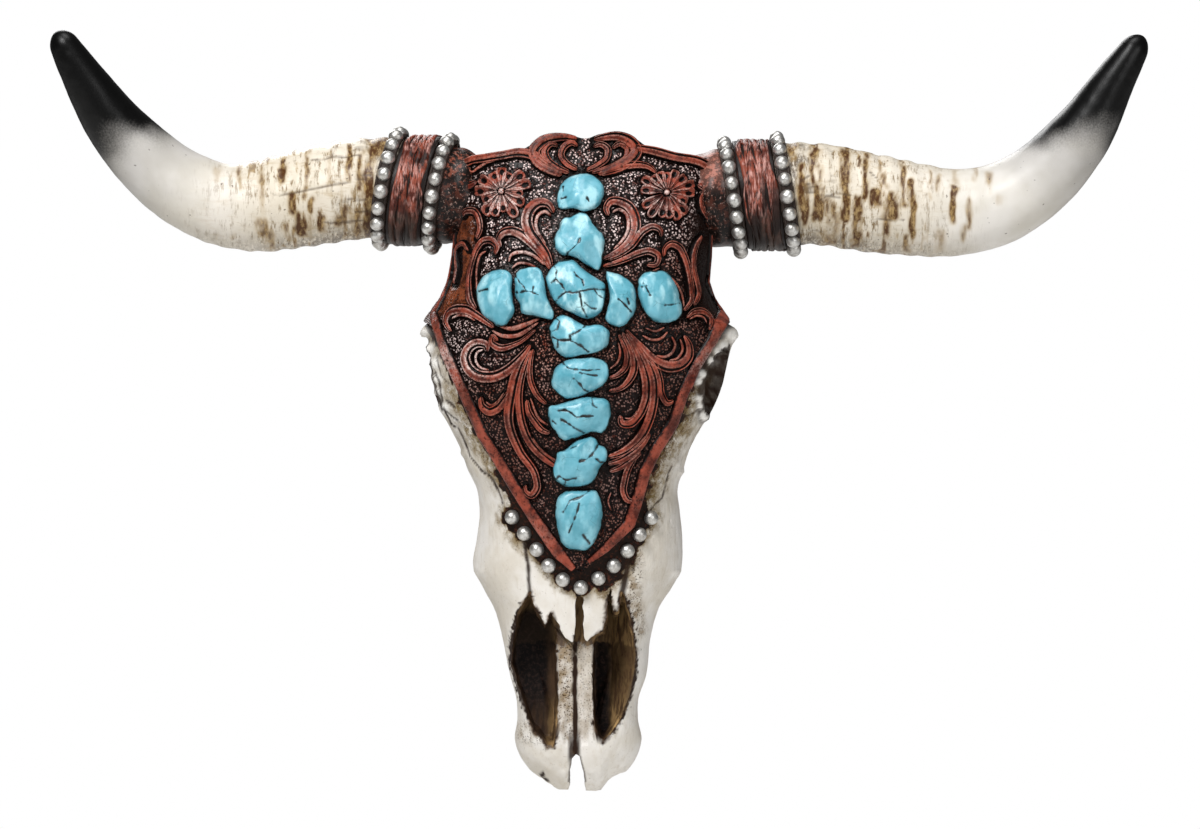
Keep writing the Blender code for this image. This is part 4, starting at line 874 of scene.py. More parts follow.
# The smooth border strap runs up both temples and down to the cover's point.
BORDER_WIDTH, BORDER_HEIGHT = 6.0, 1.5
BORDER_PROFILE = [
    (-1.08, -3.6, 1, 0), (-1.02, -1.6, 1, 0), (-0.98, 0.2, 0.8, 0.1), (-0.86, 0.8, 0.2, 0.7),
    (-0.62, 1.02, 0.05, 0.9), (-0.3, 1.08, 0.15, 0.6), (0, 1.1, 0.2, 0.5), (0.3, 1.08, 0.2, 0.5),
    (0.62, 1, 0.25, 0.5), (0.86, 0.75, 0.5, 0.2), (0.98, 0.1, 1, 0), (1.08, -0.5, 1, 0),
]
BORDER_LEFT = [
    (-57, 46, 1.2), (-58, 34, 1.6), (-60.2, 22, 2), (-63.4, 14, 2.4), (-67.4, 7, 2.8),
    *[(x + 2.6, z - 1.0, BORDER_WIDTH / 2) for x, z in EDGE_LEFT[1:-1]], (-2.6, -111.0, 1.6),
]
BORDER_RIGHT = [
    (61, 46, 1.2), (60.4, 34, 1.6), (59.4, 22, 2), (62.5, 14, 2.4), (67.2, 6.6, 2.8),
    *[(x - 2.6, z - 1.0, BORDER_WIDTH / 2) for x, z in EDGE_RIGHT[1:-2]], (12.0, -101.6, 2.2),
    (4.4, -107.6, 1.2),
]
# Where most of the red is rubbed off: x, z, half width, half height, and how much.
WORN_SPOTS = [
    (-28, 42, 17, 20, 1), (24, 46, 13, 18, 0.8), (-36, 65, 12, 11, 0.8), (41, 64, 12, 11, 0.8),
    (-55, -9, 10, 13, 1.5), (-24, -95, 14, 12, 0.8), (-40, -12, 16, 14, 0.5), (12, -50, 14, 30, 0.4),
]


def scalp_map(step=0.5, reach=150.0):
    """The leather's face unrolled: x and y for each height and each distance along the section there."""
    heights = np.arange(-116.0, 95.0, 1.0)
    arcs = np.arange(-reach, reach + step, step)
    table = []
    for row in smooth_through(SCALP, heights):
        x, y = half_ring(row)
        along = distances(np.column_stack([x, y]))
        right = np.interp(np.abs(arcs), along, x)
        table.append(np.column_stack([row[0] + np.sign(arcs) * right, np.interp(np.abs(arcs), along, y)]))
    return heights, arcs, np.array(table)


HEIGHTS, ARCS, FACE = scalp_map()


def on_face(s, z, lift=0.0):
    """Places on the leather's face, lifted off it by so many millimetres."""
    def flat(s, z):
        i = np.clip((z - HEIGHTS[0]) / (HEIGHTS[1] - HEIGHTS[0]), 0, len(HEIGHTS) - 1.001)
        j = np.clip((s - ARCS[0]) / (ARCS[1] - ARCS[0]), 0, len(ARCS) - 1.001)
        a, b = i.astype(int), j.astype(int)
        u, v = (i - a)[..., None], (j - b)[..., None]
        low = FACE[a, b] * (1 - v) + FACE[a, b + 1] * v
        high = FACE[a + 1, b] * (1 - v) + FACE[a + 1, b + 1] * v
        xy = low * (1 - u) + high * u
        return np.stack([xy[..., 0], xy[..., 1], z], axis=-1)

    s, z = np.broadcast_arrays(np.asarray(s, float), np.asarray(z, float))
    normal = np.cross(flat(s + 0.6, z) - flat(s - 0.6, z), flat(s, z + 0.8) - flat(s, z - 0.8))
    normal /= np.linalg.norm(normal, axis=-1, keepdims=True)
    return flat(s, z) + normal * np.asarray(lift)[..., None]


def arc_at(x, z):
    """How far along its section a place of the leather's front lies, seen from the front."""
    found = []
    for one_x, one_z in zip(np.atleast_1d(x), np.atleast_1d(z)):
        row = np.interp(one_z, HEIGHTS, np.arange(len(HEIGHTS)))
        a = min(int(row), len(HEIGHTS) - 2)
        line = FACE[a] * (1 - row + a) + FACE[a + 1] * (row - a)
        widest = slice(np.argmin(line[:, 0]), np.argmax(line[:, 0]) + 1)
        found.append(np.interp(one_x, line[widest, 0], ARCS[widest]))
    return np.array(found)


def ribbon(path, profile, low, slope, step=0.55, rounded=True):
    """A raised strap along x, z and half width: its points, faces, dark wash with painted shade, and pale rub
    with painted highlight.

    It stands low millimetres high and slope more for each millimetre of half width.
    """
    length = np.linalg.norm(np.diff(np.array(path)[:, :2], axis=0), axis=1).sum()
    count = max(8, round(length / step))
    line = smooth_line(path, count) if rounded else evenly(path, count)
    width = line[:, 2].copy()
    if rounded:
        blunt = 1.1  # millimetres over which each end narrows
        end = np.minimum(np.arange(count), np.arange(count)[::-1]) * length / count
        width *= np.sqrt(np.clip(1 - (1 - np.clip(end / blunt, 0, 1)) ** 2, 0.03, 1))
    s, z = arc_at(line[:, 0], line[:, 1]), line[:, 1]
    ahead = np.column_stack([np.gradient(s), np.gradient(z)])
    ahead /= np.linalg.norm(ahead, axis=1, keepdims=True)
    across, height, wash_and_shade, rub_and_highlight = np.array(profile).T
    tall = (low + slope * width) * np.clip(width / np.maximum(line[:, 2], 1e-6), 0.3, 1)
    side_s = s[:, None] + ahead[:, 1:2] * width[:, None] * across
    side_z = z[:, None] - ahead[:, 0:1] * width[:, None] * across
    grid = on_face(side_s, side_z, tall[:, None] * height)
    faces = grid_faces(count, len(across))
    return grid.reshape(-1, 3), faces, np.tile(wash_and_shade, count), np.tile(rub_and_highlight, count)


def joined(strips):
    """Puts several strips together as one list of points and faces."""
    points, faces, washes_and_shades, rubs_and_highlights, start = [], [], [], [], 0
    for place, face, wash_and_shade, rub_and_highlight in strips:
        points.append(place)
        faces += [[start + i for i in one] for one in face]
        washes_and_shades.append(wash_and_shade)
        rubs_and_highlights.append(rub_and_highlight)
        start += len(place)
    return np.concatenate(points), faces, np.concatenate(washes_and_shades), np.concatenate(rubs_and_highlights)


def button(x, z, radius, high):
    """A small dome on the leather."""
    rings, around = 6, 16
    s0 = arc_at(x, z)[0]
    turn = np.linspace(0, 2 * math.pi, around, endpoint=False)
    strip = []
    for tilt in np.arange(rings, -1, -1) * math.pi / 2 / rings:
        r, lift = radius * math.sin(tilt), high * math.cos(tilt) - 0.15
        strip.append(on_face(s0 + r * np.cos(turn), z + r * np.sin(turn), np.full(around, lift)))
    # Dark at the dome's foot and pale at its top: painted shade and painted highlight.
    dark = np.repeat(np.linspace(1, 0, rings + 1), around) ** 2
    return np.concatenate(strip), grid_faces(rings + 1, around, closed=True), dark, 1 - dark


def petals(middle, half, lobes):
    """One blossom: lobes of several lengths round a button, each with a dark dent behind its curled rim."""
    widths = [(0.16, 0.22), (0.34, 0.45), (0.58, 0.82), (0.78, 1.0), (0.93, 0.86), (1.0, 0.6)]
    strips = []
    for turn, reach in lobes:
        way = np.array([math.cos(math.radians(turn)), math.sin(math.radians(turn))])
        path = [(*(middle + way * reach * share), half * width) for share, width in widths]
        points, faces, wash_and_shade, rub_and_highlight = ribbon(path, PETAL_PROFILE, 0.8, 0.35, step=0.45)
        off = points[:, [0, 2]] - middle
        along = off @ way / reach
        across = np.abs(off @ np.array([-way[1], way[0]])) / half
        dent = ease(1 - np.hypot((along - 0.80) / 0.15, across / 0.55), 0.0, 0.35)
        groove = ease(along, 0.42, 0.6) * ease(0.85 - across, 0, 0.15)
        wash_and_shade = np.maximum(wash_and_shade * (1 - groove), dent)
        points[:, 1] += 0.5 * dent
        strips.append((points, faces, wash_and_shade, rub_and_highlight * (1 - dent)))
    return [*strips, button(*middle, 1.6, 1.4)]


def faded(points):
    """How far the red has been rubbed off to a pale grey pink: most at the left of the cross."""
    x, z = points[:, 0], points[:, 2]
    worn = sum(by * np.exp(-((x - mx) / a) ** 2 - ((z - mz) / b) ** 2) for mx, mz, a, b, by in WORN_SPOTS)
    return np.clip(worn + 0.25 * rough(points, 9, 3, seed=95), 0, 1)


strips = [ribbon(path, STRAP_PROFILE, 0.6, 0.5) for path in STRAPS]
strips += [ribbon(path, LINE_PROFILE, 0.45, 0.6) for path in FINE_STRAPS]
for blossom in BLOSSOMS:
    strips += petals(*blossom)
points, faces, wash_and_shade, rub_and_highlight = joined(strips)
tooling = mesh_object("tooled_scrolls", points, faces)
layer(tooling, "wash_and_shade", wash_and_shade)
layer(tooling, "rub_and_highlight", rub_and_highlight)
layer(tooling, "faded", faded(points))

# Places along all the raised work, beside which the ground is painted dark as wash and painted shade: x, z
# and half width.
marks = [mark for path in [*STRAPS, *FINE_STRAPS] for mark in smooth_line(path, 60)]
marks += [(m[0] + math.cos(math.radians(turn)) * r, m[1] + math.sin(math.radians(turn)) * r, 1.6)
          for m, _, lobes in BLOSSOMS for turn, reach in lobes for r in np.linspace(0, reach * 0.9, 8)]
nearby = kdtree.KDTree(len(marks))
for i, (mark_x, mark_z, _) in enumerate(marks):
    nearby.insert((mark_x, 0, mark_z), i)
nearby.balance()
GROUND_COLUMNS = 232


def strap_gap(x, z):
    """Distance to the edge of the nearest raised work, seen from the front."""
    gaps = []
    for one_x, one_z in zip(x, z):
        gaps.append(min(away - marks[i][2] for _, i, away in nearby.find_n((one_x, 0, one_z), 3)))
    return np.array(gaps)


def ground_ends(heights):
    """How far along the section the ground reaches at each height, to the left and to the right."""
    right, left = by_height(EDGE_RIGHT), by_height(EDGE_LEFT)
    ends = []
    for z in heights:
        if z < BROW_CORNER:
            ends.append((arc_at(np.interp(z, left[:, 1], left[:, 0]) + 0.8, z)[0],
                         arc_at(np.interp(z, right[:, 1], right[:, 0]) - 0.8, z)[0]))
        else:
            behind = FACE[int(np.argmin(abs(HEIGHTS - z)))][:, 1] >= -COVER_BACK
            ends.append((ARCS[behind & (ARCS < 0)].max(), ARCS[behind & (ARCS >= 0)].min()))
    ends = np.array(ends)
    first, last = np.searchsorted(heights, [2.9, 6.5])
    for k in range(first, last):  # the edge sweeps round the brow corner to the side
        t = (k - first + 1) / (last - first)
        ends[k] = ends[first - 1] * (1 - t) + ends[last] * t
    return ends


def make_ground():
    """The pebbled leather between the scrolls, out to the cover's edges, with its top edge turned back."""
    heights = np.concatenate([np.arange(-112.6, CREST_FROM, 0.62), [CREST_FROM]])
    share = np.linspace(0, 1, GROUND_COLUMNS)
    rows = [(a + (b - a) * share, np.full(GROUND_COLUMNS, z))
            for z, (a, b) in zip(heights, ground_ends(heights))]
    s, z = rows[-1]
    top = np.interp(on_face(s, z)[:, 0], *smooth_line(TOP_EDGE, 300).T)
    rows += [(s, CREST_FROM + (top - CREST_FROM) * t) for t in np.linspace(0, 1, 30)[1:]]
    grid = np.array([on_face(s, z) for s, z in rows])
    flat = grid.reshape(-1, 3)
    gap = np.full(len(flat), 3.0)
    seen = flat[:, 1] < -30
    gap[seen] = strap_gap(flat[seen, 0], flat[seen, 2])
    lift = 0.22 * rough(flat, 1.7, 2, seed=71) + 0.15 * rough(flat, 7, 2, seed=73)
    lift += 0.5 * ease(gap, 0.8, 2.2) - 0.55
    grid = (flat + grid_normals(grid).reshape(-1, 3) * lift[:, None]).reshape(grid.shape)
    last = grid[-1]
    turned = [grid]
    for back, down in ((0.25, 0.0), (0.5, 0.0), (0.8, 0.0), (1.0, 0.6), (1.0, 5.0), (1.0, 10.0)):
        edge = last.copy()
        edge[:, 1] += np.maximum(-CREST_BACK - last[:, 1], 0) * back
        edge[:, 2] -= down
        turned.append(edge[None])
    grid = np.concatenate(turned)
    sides = [grid[:, end].copy() for end in (0, -1)]  # both ends turn in towards the skull
    for side in sides:
        side[:, 0] -= np.sign(side[:, 0]) * 3.6
    grid = np.concatenate([sides[0][:, None], grid, sides[1][:, None]], axis=1)
    rows, columns = grid.shape[:2]
    ground = mesh_object("leather_ground", grid.reshape(-1, 3), grid_faces(rows, columns))
    full = np.zeros((rows, columns))
    full[: len(gap) // GROUND_COLUMNS, 1:-1] = gap.reshape(-1, GROUND_COLUMNS)
    return ground, full.ravel()


ground, gap = make_ground()
at = places(ground)
x, z = at[:, 0], at[:, 2]
# Dark beside the raised work, as wash and painted shade; the pebble tops show only away from it.
layer(ground, "wash_and_shade", 1 - ease(gap, 0.6, 1.5))
layer(ground, "rub_and_highlight", ease(gap, 0.8, 1.6))
layer(ground, "faded", np.clip(faded(at) + 0.75 * ease(z - 0.25 * x, 12, 36), 0, 1))
layer(ground, "lit", 0.35 + 0.65 * ease(z + 0.5 * x, -75, 5) * ease(-x + 0.8 * z, -60, 20))
calm = ease(np.abs(x - 2) + 0.5 * rough(at, 6, 2, seed=91), 47, 54) * ease(z, 4, 9) * (1 - ease(z, 52, 60))
layer(ground, "calm", np.maximum(calm, ease(at[:, 1], -46, -40)))
layer(ground, "right", (x > 0) * 1.0)

mirrored = [(-k, *rest) for k, *rest in BORDER_PROFILE[::-1]]
points, faces, wash_and_shade, rub_and_highlight = joined([
    ribbon(BORDER_LEFT, mirrored, BORDER_HEIGHT, 0.0, step=0.7, rounded=False),
    ribbon(BORDER_RIGHT, BORDER_PROFILE, BORDER_HEIGHT, 0.0, step=0.7, rounded=False),
])
points += 0.10 * rough(points, 6, 2, seed=81)[:, None]
border = mesh_object("border_strap", points, faces)
layer(border, "wash_and_shade", wash_and_shade)
at_temples = np.interp(points[:, 0], [-50, -40, 40, 50], [1.2, 0, 0, 0.55])
worn = np.maximum(0.35 * faded(points), at_temples * np.exp(-((points[:, 2] + 14) / 10) ** 2))
layer(border, "rub_and_highlight", rub_and_highlight * (0.3 + 0.7 * worn).clip(0, 1))
layer(border, "faded", worn)


def washed(paint):
    """Over both leather paints: dark scuffs about 2 mm wide, and the dark wash and painted shade in the lows
    and beside the raised work.
    """
    paint.coat("#1b0a05", (paint.grain(1.8, 4, 0.72, seed=1.9), 0.57, 0.65), 0.85)
    paint.coat("#0a0403", (paint.frayed("wash_and_shade", paint.grain(1.4, 3, 0.7, seed=5.9), 0.9), 0.66, 1.10))


# Satin red-brown acrylic over the raised work, clouded every 8 mm, bleached and rubbed pale on the highs,
# where the pale also stands for painted highlight, and with the fine dents of a brush, 1.3 mm apart.
strap_paint = Paint("red_brown_strap_paint", "#914332", roughness=0.32, specular=0.15)
strap_paint.coat("#4a1b13", (strap_paint.grain(8, 4, 0.65), 0.38, 0.62))
bleached = (strap_paint.grain(3.0, 4, 0.7, seed=3.9), 0.36, 0.56)
strap_paint.coat("#a9786c", ("faded", 0.7, 1.1), bleached, 0.7)
patchy = (strap_paint.grain(7, 3, 0.65, seed=2.7), 0.32, 0.56)
scratched = (strap_paint.grain(0.9, 2, 0.6, seed=4.1), 0.36, 0.54)
stronger = {0: strap_paint.share("faded"), 3: 0.55, 4: 1.0}
strength = add(strap_paint.tree, "ShaderNodeMapRange", stronger).outputs[0]
# Pale rub on the highs, which is also a painted highlight.
rub_and_highlight_tone = strap_paint.mix("#bd8270", "#e3cdc6", "faded")
strap_paint.coat(rub_and_highlight_tone, "rub_and_highlight", patchy, scratched, strength)
strap_paint.relief(strap_paint.grain(1.3, 4, 0.7, seed=8.2), 0.16)
washed(strap_paint)
finished(tooling, strap_paint, "leather", "cover")
finished(border, strap_paint, "leather", "cover")

# The ground is stamped with pebbles 1.15 mm wide and blackened; only their tops keep the red-brown, more of
# them towards the upper left where the lit layer paints the light, and rubbed pale in patches of 3 mm, the
# pale partly a painted highlight. The smooth temples are tan at the left and black at the right.
ground_paint = Paint("blackened_pebbled_ground", "#0e0504", roughness=0.32, specular=0.10)
tops = ground_paint.share((ground_paint.cells(1.15), 0.54, 0.24))
shown = ground_paint.share(tops, "lit", "rub_and_highlight")
ground_paint.coat(ground_paint.mix("#6c3123", "#6b4640", "faded"), shown)
rub_and_highlight_picks = (ground_paint.grain(3.2, 5, 0.75, seed=6.6), 0.42, 0.52)
ground_paint.coat(ground_paint.mix("#b98b7d", "#f3dfdb", "faded"), shown, rub_and_highlight_picks, 0.95)
tanned = ground_paint.mix("#3a1a0e", "#7a4027", (ground_paint.grain(6, 4, 0.7, seed=7.3), 0.40, 0.62))
ground_paint.coat(ground_paint.mix(tanned, "#1a0d09", "right"), "calm")
# Nearly black round the stones: wash and painted shade.
ground_paint.coat("#0b0604", "beside", 0.9)
ground_paint.relief(tops, 0.40)
washed(ground_paint)
finished(ground, ground_paint, "leather", "cover")


# Turquoise: twelve pebbles cast as tumbled stones, painted sky blue and veined with thin black wash,
# seated in the leather as a cross. Their outlines and their veins are drawn seen from the front.
STONES = [
    [(0.5, 72.2), (4.3, 72.1), (11, 67.2), (9, 57.5), (3.6, 54.8), (-2.7, 56.1), (-8.9, 56.5), (-9.9, 59.4),
     (-8.9, 66), (-3.4, 71.1)],
    [(0.5, 54), (3.6, 53.4), (5.5, 50.9), (8.2, 47), (10.6, 44.3), (11.7, 41.1), (11.3, 38.1), (11, 33.4),
     (8.6, 27.4), (5.1, 28.9), (-2.2, 33.6), (-8.5, 35), (-11.6, 40), (-10.8, 43.5), (-9.2, 46.2),
     (-8.1, 49.7), (-6.5, 51.5), (-3.4, 52.3), (-1.5, 53.5)],
    [(-5.7, 32.1), (-2.7, 31.8), (1.3, 28.3), (9, 22.9), (11.7, 21), (12.1, 17.1), (11.7, 13.2), (11, 9.7),
     (4.8, 5), (-2.7, 7.4), (-12.1, 14), (-13.4, 17.5), (-14.9, 24.1), (-13.5, 26.8), (-8.5, 31.5)],
    [(-23.2, 28.6), (-19.9, 28.6), (-17.7, 27.2), (-16.5, 24.1), (-14.7, 14.8), (-12.7, 10.1), (-11.7, 7.4),
     (-12.3, 5.3), (-17.4, 5.5), (-22, 6.6), (-26.3, 7.8), (-27.1, 10.9), (-29.6, 17.1), (-29.4, 20.2),
     (-29.7, 23.3), (-26.7, 27.6)],
    [(-36.4, 27.6), (-33.7, 27.4), (-31.7, 25.6), (-31.1, 17.8), (-30.5, 13.2), (-29.7, 9.3), (-32.2, 4.3),
     (-34.5, 1.7), (-36.4, 1.5), (-41.5, 4.7), (-44.2, 6.6), (-46.1, 10.1), (-46.1, 22.1), (-40.3, 26.8)],
    [(13, 26.5), (16, 26), (25.2, 20.2), (26.3, 14), (26.3, 10.1), (23.3, 4.3), (20.6, 2), (17.1, 1.5),
     (12.3, 5), (13, 8.5), (14, 12.4), (13.5, 21), (12.7, 24.1)],
    [(33.1, 27), (40.9, 26), (43.2, 23.3), (46.7, 14.8), (47.4, 7), (45.5, 4.7), (41.6, 3.5), (33.1, 5),
     (28.8, 12.4), (27.4, 20.2), (28, 23.3), (30.1, 25.6)],
    [(-7.3, 6.6), (-4.2, 5.7), (-1.5, 3.8), (4.8, 1.7), (8.2, 2.2), (13.7, -1.2), (12.9, -7.4), (0.5, -12),
     (-6.5, -12.6), (-11.2, -8.2), (-12.3, -5), (-13.4, 0.8), (-11.6, 3.5), (-9.6, 5.5)],
    [(6.3, -12.9), (12.5, -15.9), (13.3, -22.5), (4.3, -29.4), (-1.1, -31.3), (-6.2, -31.7), (-12.6, -24.5),
     (-10.4, -17.8), (-2.7, -13.7), (1.3, -13.6)],
    [(5.9, -31.2), (8.2, -31.8), (11.3, -32.2), (13.7, -33.8), (14.4, -37.3), (12.9, -45.1), (10.6, -47.7),
     (7.5, -47.4), (-3.4, -50.7), (-6.2, -51.3), (-11.2, -46.6), (-13.9, -39.6), (-13.5, -35.7),
     (-10.4, -35), (-3.4, -33.1), (1.3, -31.6)],
    [(5.5, -49.6), (7.8, -50.9), (9.4, -53.6), (11.7, -54.8), (12.5, -60.6), (10.6, -62.5), (5.9, -70.7),
     (-1.9, -72.8), (-6.2, -72.4), (-11.6, -67.6), (-11.6, -63.7), (-10.4, -60.6), (-10, -57.1),
     (-6.5, -55.9), (-1.1, -51.6)],
    [(-3.4, -74.6), (1.3, -74.9), (8.2, -75.4), (9.8, -78.4), (10.6, -87.7), (2.8, -102.1), (-6.5, -100.2),
     (-10, -91.7), (-10.4, -81.6), (-9.2, -77.7), (-6.9, -75.7)],
]
VEINS = [
    [[(-7.5, 66.2), (-7.2, 64.3)], [(3.7, 61), (4.7, 59.2)], [(-7.9, 60.6), (-6.1, 61)]],
    [[(-5.6, 33.6), (-5.1, 35.4), (-0.9, 39.1), (0.5, 41.9)], [(6.1, 49.4), (8.4, 47.5), (9.8, 45.2)]],
    [[(-11.2, 28.9), (-10.3, 27), (-10.7, 23.3), (-7.9, 20.5), (-6.1, 17.2), (-2.8, 16.8), (7, 18.6),
     (11.7, 18.2)], [(-2.3, 26.6), (-0.9, 24.7), (1.4, 22.8), (2.3, 20)], [(0.5, 16.8), (1.4, 10.3),
     (3.7, 5.6)], [(2.8, 12.1), (5.6, 9.8), (7.9, 9.3)], [(-6.1, 17.2), (-8.9, 14.9), (-10.7, 12.6)],
     [(-10.7, 23.3), (-12.6, 21.4)], [(7, 18.6), (8.9, 15.8), (11.7, 14)]],
    [[(-29.8, 25.6), (-27.5, 21.9), (-25.2, 19.6), (-24.7, 18.2)], [(-29.4, 17.2), (-27.5, 16.8),
     (-25.2, 17.7), (-21.9, 17.2), (-18.6, 15.8)], [(-21.4, 17.2), (-21, 19.6)]],
    [[(-46.1, 17.7), (-42.4, 18.6)]],
    [[(18.2, 14), (20, 12.6), (24.2, 7.9)], [(22.4, 14), (23.3, 11.7)]],
    [[(29.8, 21.4), (33.1, 15.8)], [(40.1, 11.2), (42.4, 11.2), (46.6, 12.1)], [(28.9, 19.6), (31.2, 20)]],
    [[(-13.5, -1.4), (-9.8, 0), (-8.9, 3.7), (-10.7, 5.1)], [(-3.3, -2.3), (-0.5, -1.4), (2.8, 1.4),
     (2.3, 2.8)], [(-12.1, -3.7), (-8.9, -5.1), (-4.2, -5.1), (0.5, -7.5), (4.2, -10.3)], [(-9.8, -5.1),
     (-9.8, -8.4)], [(-4.2, -2.3), (-3.7, -5.1)]],
    [[(-7.5, -15.4), (-4.7, -18.2), (4.2, -19.1), (9.8, -18.6)], [(0.5, -20), (4.2, -21), (8.4, -21.4)],
     [(-2.3, -22.8), (0.5, -25.2), (1.9, -27.5), (4.7, -29.4)]],
    [[(-9.3, -37.7), (-6.5, -37.3), (-4.2, -38.2), (-1.4, -40.5), (6.5, -40.1)], [(-7.9, -41.9),
     (-5.1, -43.3), (-1.9, -45.7), (2.3, -48)], [(6.1, -31.7), (6.5, -35), (8.4, -36.3)], [(-12.1, -42.4),
     (-10.7, -43.8)]],
    [[(9.8, -52.2), (6.1, -58.2), (3.7, -60.1), (0.5, -61)], [(-10.7, -69.4), (-8.9, -68), (-6.1, -69.9),
     (-1.4, -69)], [(-6.1, -69.9), (-6.5, -71.8)], [(8.4, -60.1), (9.8, -61.5), (11.7, -61.5)],
     [(-3.7, -55), (-1.4, -54.1)]],
    [[(-7, -84.3), (-4.2, -79.2), (0.5, -77.8), (4.7, -75)], [(0, -80.6), (-0.5, -83.9), (-4.7, -94.1)],
     [(1.9, -95.1), (5.1, -99.3)]],
]


STONE_HEIGHT, SEAT = 8.6, 0.5  # how high a stone's dome stands, and how deep it sits in the leather


def pebble(i, outline, veins, rings=46, around=150):
    """One tumbled stone: a dome over its measured outline, with a few worn flats and its cracks."""
    edge = smooth_line(closed(outline), around + 1)[:-1]
    middle = edge.mean(axis=0)
    size = np.linalg.norm(edge - middle, axis=1).mean()
    edge = middle + (edge - middle) * (1 + 0.3 / size)
    share = np.concatenate([np.sin(np.linspace(0, math.pi / 2, rings)), [1.0, 0.97]])
    place = middle + (edge - middle)[None] * share[:, None, None]
    r = np.repeat(share[:, None], around, axis=1)
    x, z = place[..., 0], place[..., 1]
    tall = (1 - np.minimum(r, 0.999) ** 2.5) ** (1 / 2.3)
    for k in range(5):  # worn flats, which meet the dome in a soft edge
        turn = random_turns[i] + k * 2 * math.pi / 5
        slope = 0.40 + 0.22 * ((i * 7 + k * 3) % 5) / 4
        level = 1.02 + 0.10 * ((i * 5 + k * 2) % 4) / 3
        outward = ((x - middle[0]) * math.cos(turn) + (z - middle[1]) * math.sin(turn)) / size
        over, soft = tall - (level - slope * outward), 0.12
        softly = np.maximum(over + soft, 0) ** 2 / (4 * soft)
        tall = tall - np.where(over < soft, softly, over)
    base = -front_depth(x.ravel(), z.ravel(), SCALP).reshape(x.shape)
    y = base + SEAT - STONE_HEIGHT * tall
    y[-2:] = base[-2:] + 1.2
    flat = np.stack([x, y, z], axis=-1).reshape(-1, 3)
    bump = 0.22 * rough(flat, 7, 3, seed=301 + i) + 0.03 * rough(flat, 1.6, 2, seed=331 + i)
    shake = 0.28 * rough(flat, 1.6, 3, seed=361 + i)
    wide = 0.22 + 0.30 * ease(noise(flat, 2.2, seed=371 + i), -0.2, 0.5)
    vein = np.zeros(len(flat))
    for line in veins:
        away = line_distance(flat[:, 0], flat[:, 2], line) + shake
        vein = np.maximum(vein, 1 - ease(away, 0.4 * wide, 2.0 * wide))
    flat[:, 1] -= bump * (1 - r.ravel() ** 8) - 0.45 * vein
    # Dark at the stone's foot, where it meets the leather: grime and painted shade.
    low = ease(r.ravel() + 0.05 * rough(flat, 3, 2, seed=381 + i), 0.955, 1.0)
    return flat[::-1], grid_faces(len(share), around, closed=True), vein[::-1], low[::-1]


# Satin sky-blue acrylic, clouded every 6 to 9 mm with milky and deeper blue, and palest at the cross's
# middle. Fine hairlines run about 8 mm apart between the drawn veins.
random_turns = np.random.default_rng(4).uniform(0, 2 * math.pi, len(STONES))
turquoise = Paint("veined_turquoise_paint", "#4f97a8", roughness=0.33)
turquoise.coat("#6bafc0", (turquoise.grain(9, 3, 0.6, seed=1.0), 0.34, 0.64))
milky = (turquoise.grain(7, 3, 0.5, stretch=(1.3, 1, 0.7), seed=4.0), 0.46, 0.70)
turquoise.coat("#a0d8e4", milky, 0.6)
turquoise.coat("#3f8799", (turquoise.grain(6, 3, 0.6, seed=8.0), 0.58, 0.72), 0.5)
turquoise.coat("#c4ecf1", "milk", milky)
hair = turquoise.cells(8.0, stretch=(1, 1, 1.3), feature="DISTANCE_TO_EDGE")
turquoise.coat("#2e5c66", (hair, 0.020, 0.004), (turquoise.grain(6, 2, 0.6, seed=2.5), 0.50, 0.62), 0.55)
# The dark foot of each stone: grime and painted shade.
turquoise.coat("#1d2c2a", "seat")
turquoise.coat("#060908", "vein")
turquoise.relief(turquoise.grain(3.0, 3, 0.55, seed=3.0), 0.10)
for i, (outline, veins) in enumerate(zip(STONES, VEINS)):
    points, faces, vein, seat = pebble(i, outline, veins)
    stone = mesh_object(f"turquoise_{i + 1:02d}", points, faces)
    layer(stone, "vein", vein)
    layer(stone, "seat", seat)
    milk = np.exp(-(np.hypot(points[:, 0] + 1, points[:, 2] - 16) / 17) ** 2)
    layer(stone, "milk", np.maximum(milk, 0.45 * ease(points[:, 2], -5, 25)))
    finished(stone, turquoise, "turquoise", f"stone_{i + 1:02d}")
# Round every stone the leather is painted nearly black: wash, and painted shade where the stones stand over
# it.
at = places(ground)
beside = np.min([line_distance(at[:, 0], at[:, 2], closed(outline)) for outline in STONES], axis=0)
layer(ground, "beside", (1 - ease(beside + 0.7 * rough(at, 2.5, 2, seed=395), 0.6, 3.4)) * (at[:, 1] < -20))


# Horns: cast in one with the skull but painted apart, ivory with brown growth rings at the root and
# airbrushed black at the tips. From root to tip: x, y, z of the middle and the radius there.
HORN_LEFT = [
    (-44, -31, 61, 18), (-55.5, -33, 62.6, 22.2), (-66, -33.5, 64.2, 23.2),
    (-99.7, -34.5, 66.3, 23.5), (-132.8, -36, 60.8, 22.4), (-149.3, -37, 58, 21.2),
    (-166.4, -38.5, 58.7, 19.2), (-182, -40.5, 64.8, 17.9), (-212, -47.5, 90.4, 14.5),
    (-234, -55.5, 123, 8.8), (-243, -58.5, 138.8, 5.6),
]
HORN_RIGHT = [
    (49, -31, 59.5, 18), (60.5, -33, 61, 22.2), (72, -33.5, 62.2, 23.3),
    (110.6, -34.5, 63.7, 23.7), (143.8, -36, 58.4, 22.5), (177.3, -38.5, 55.2, 20.2),
    (194, -40.5, 58.4, 19.2), (209, -43.5, 66, 17.7), (233, -50.5, 89.8, 14.6),
    (250.5, -57, 118.2, 9.2), (262.2, -59.8, 136.6, 5.4),
]
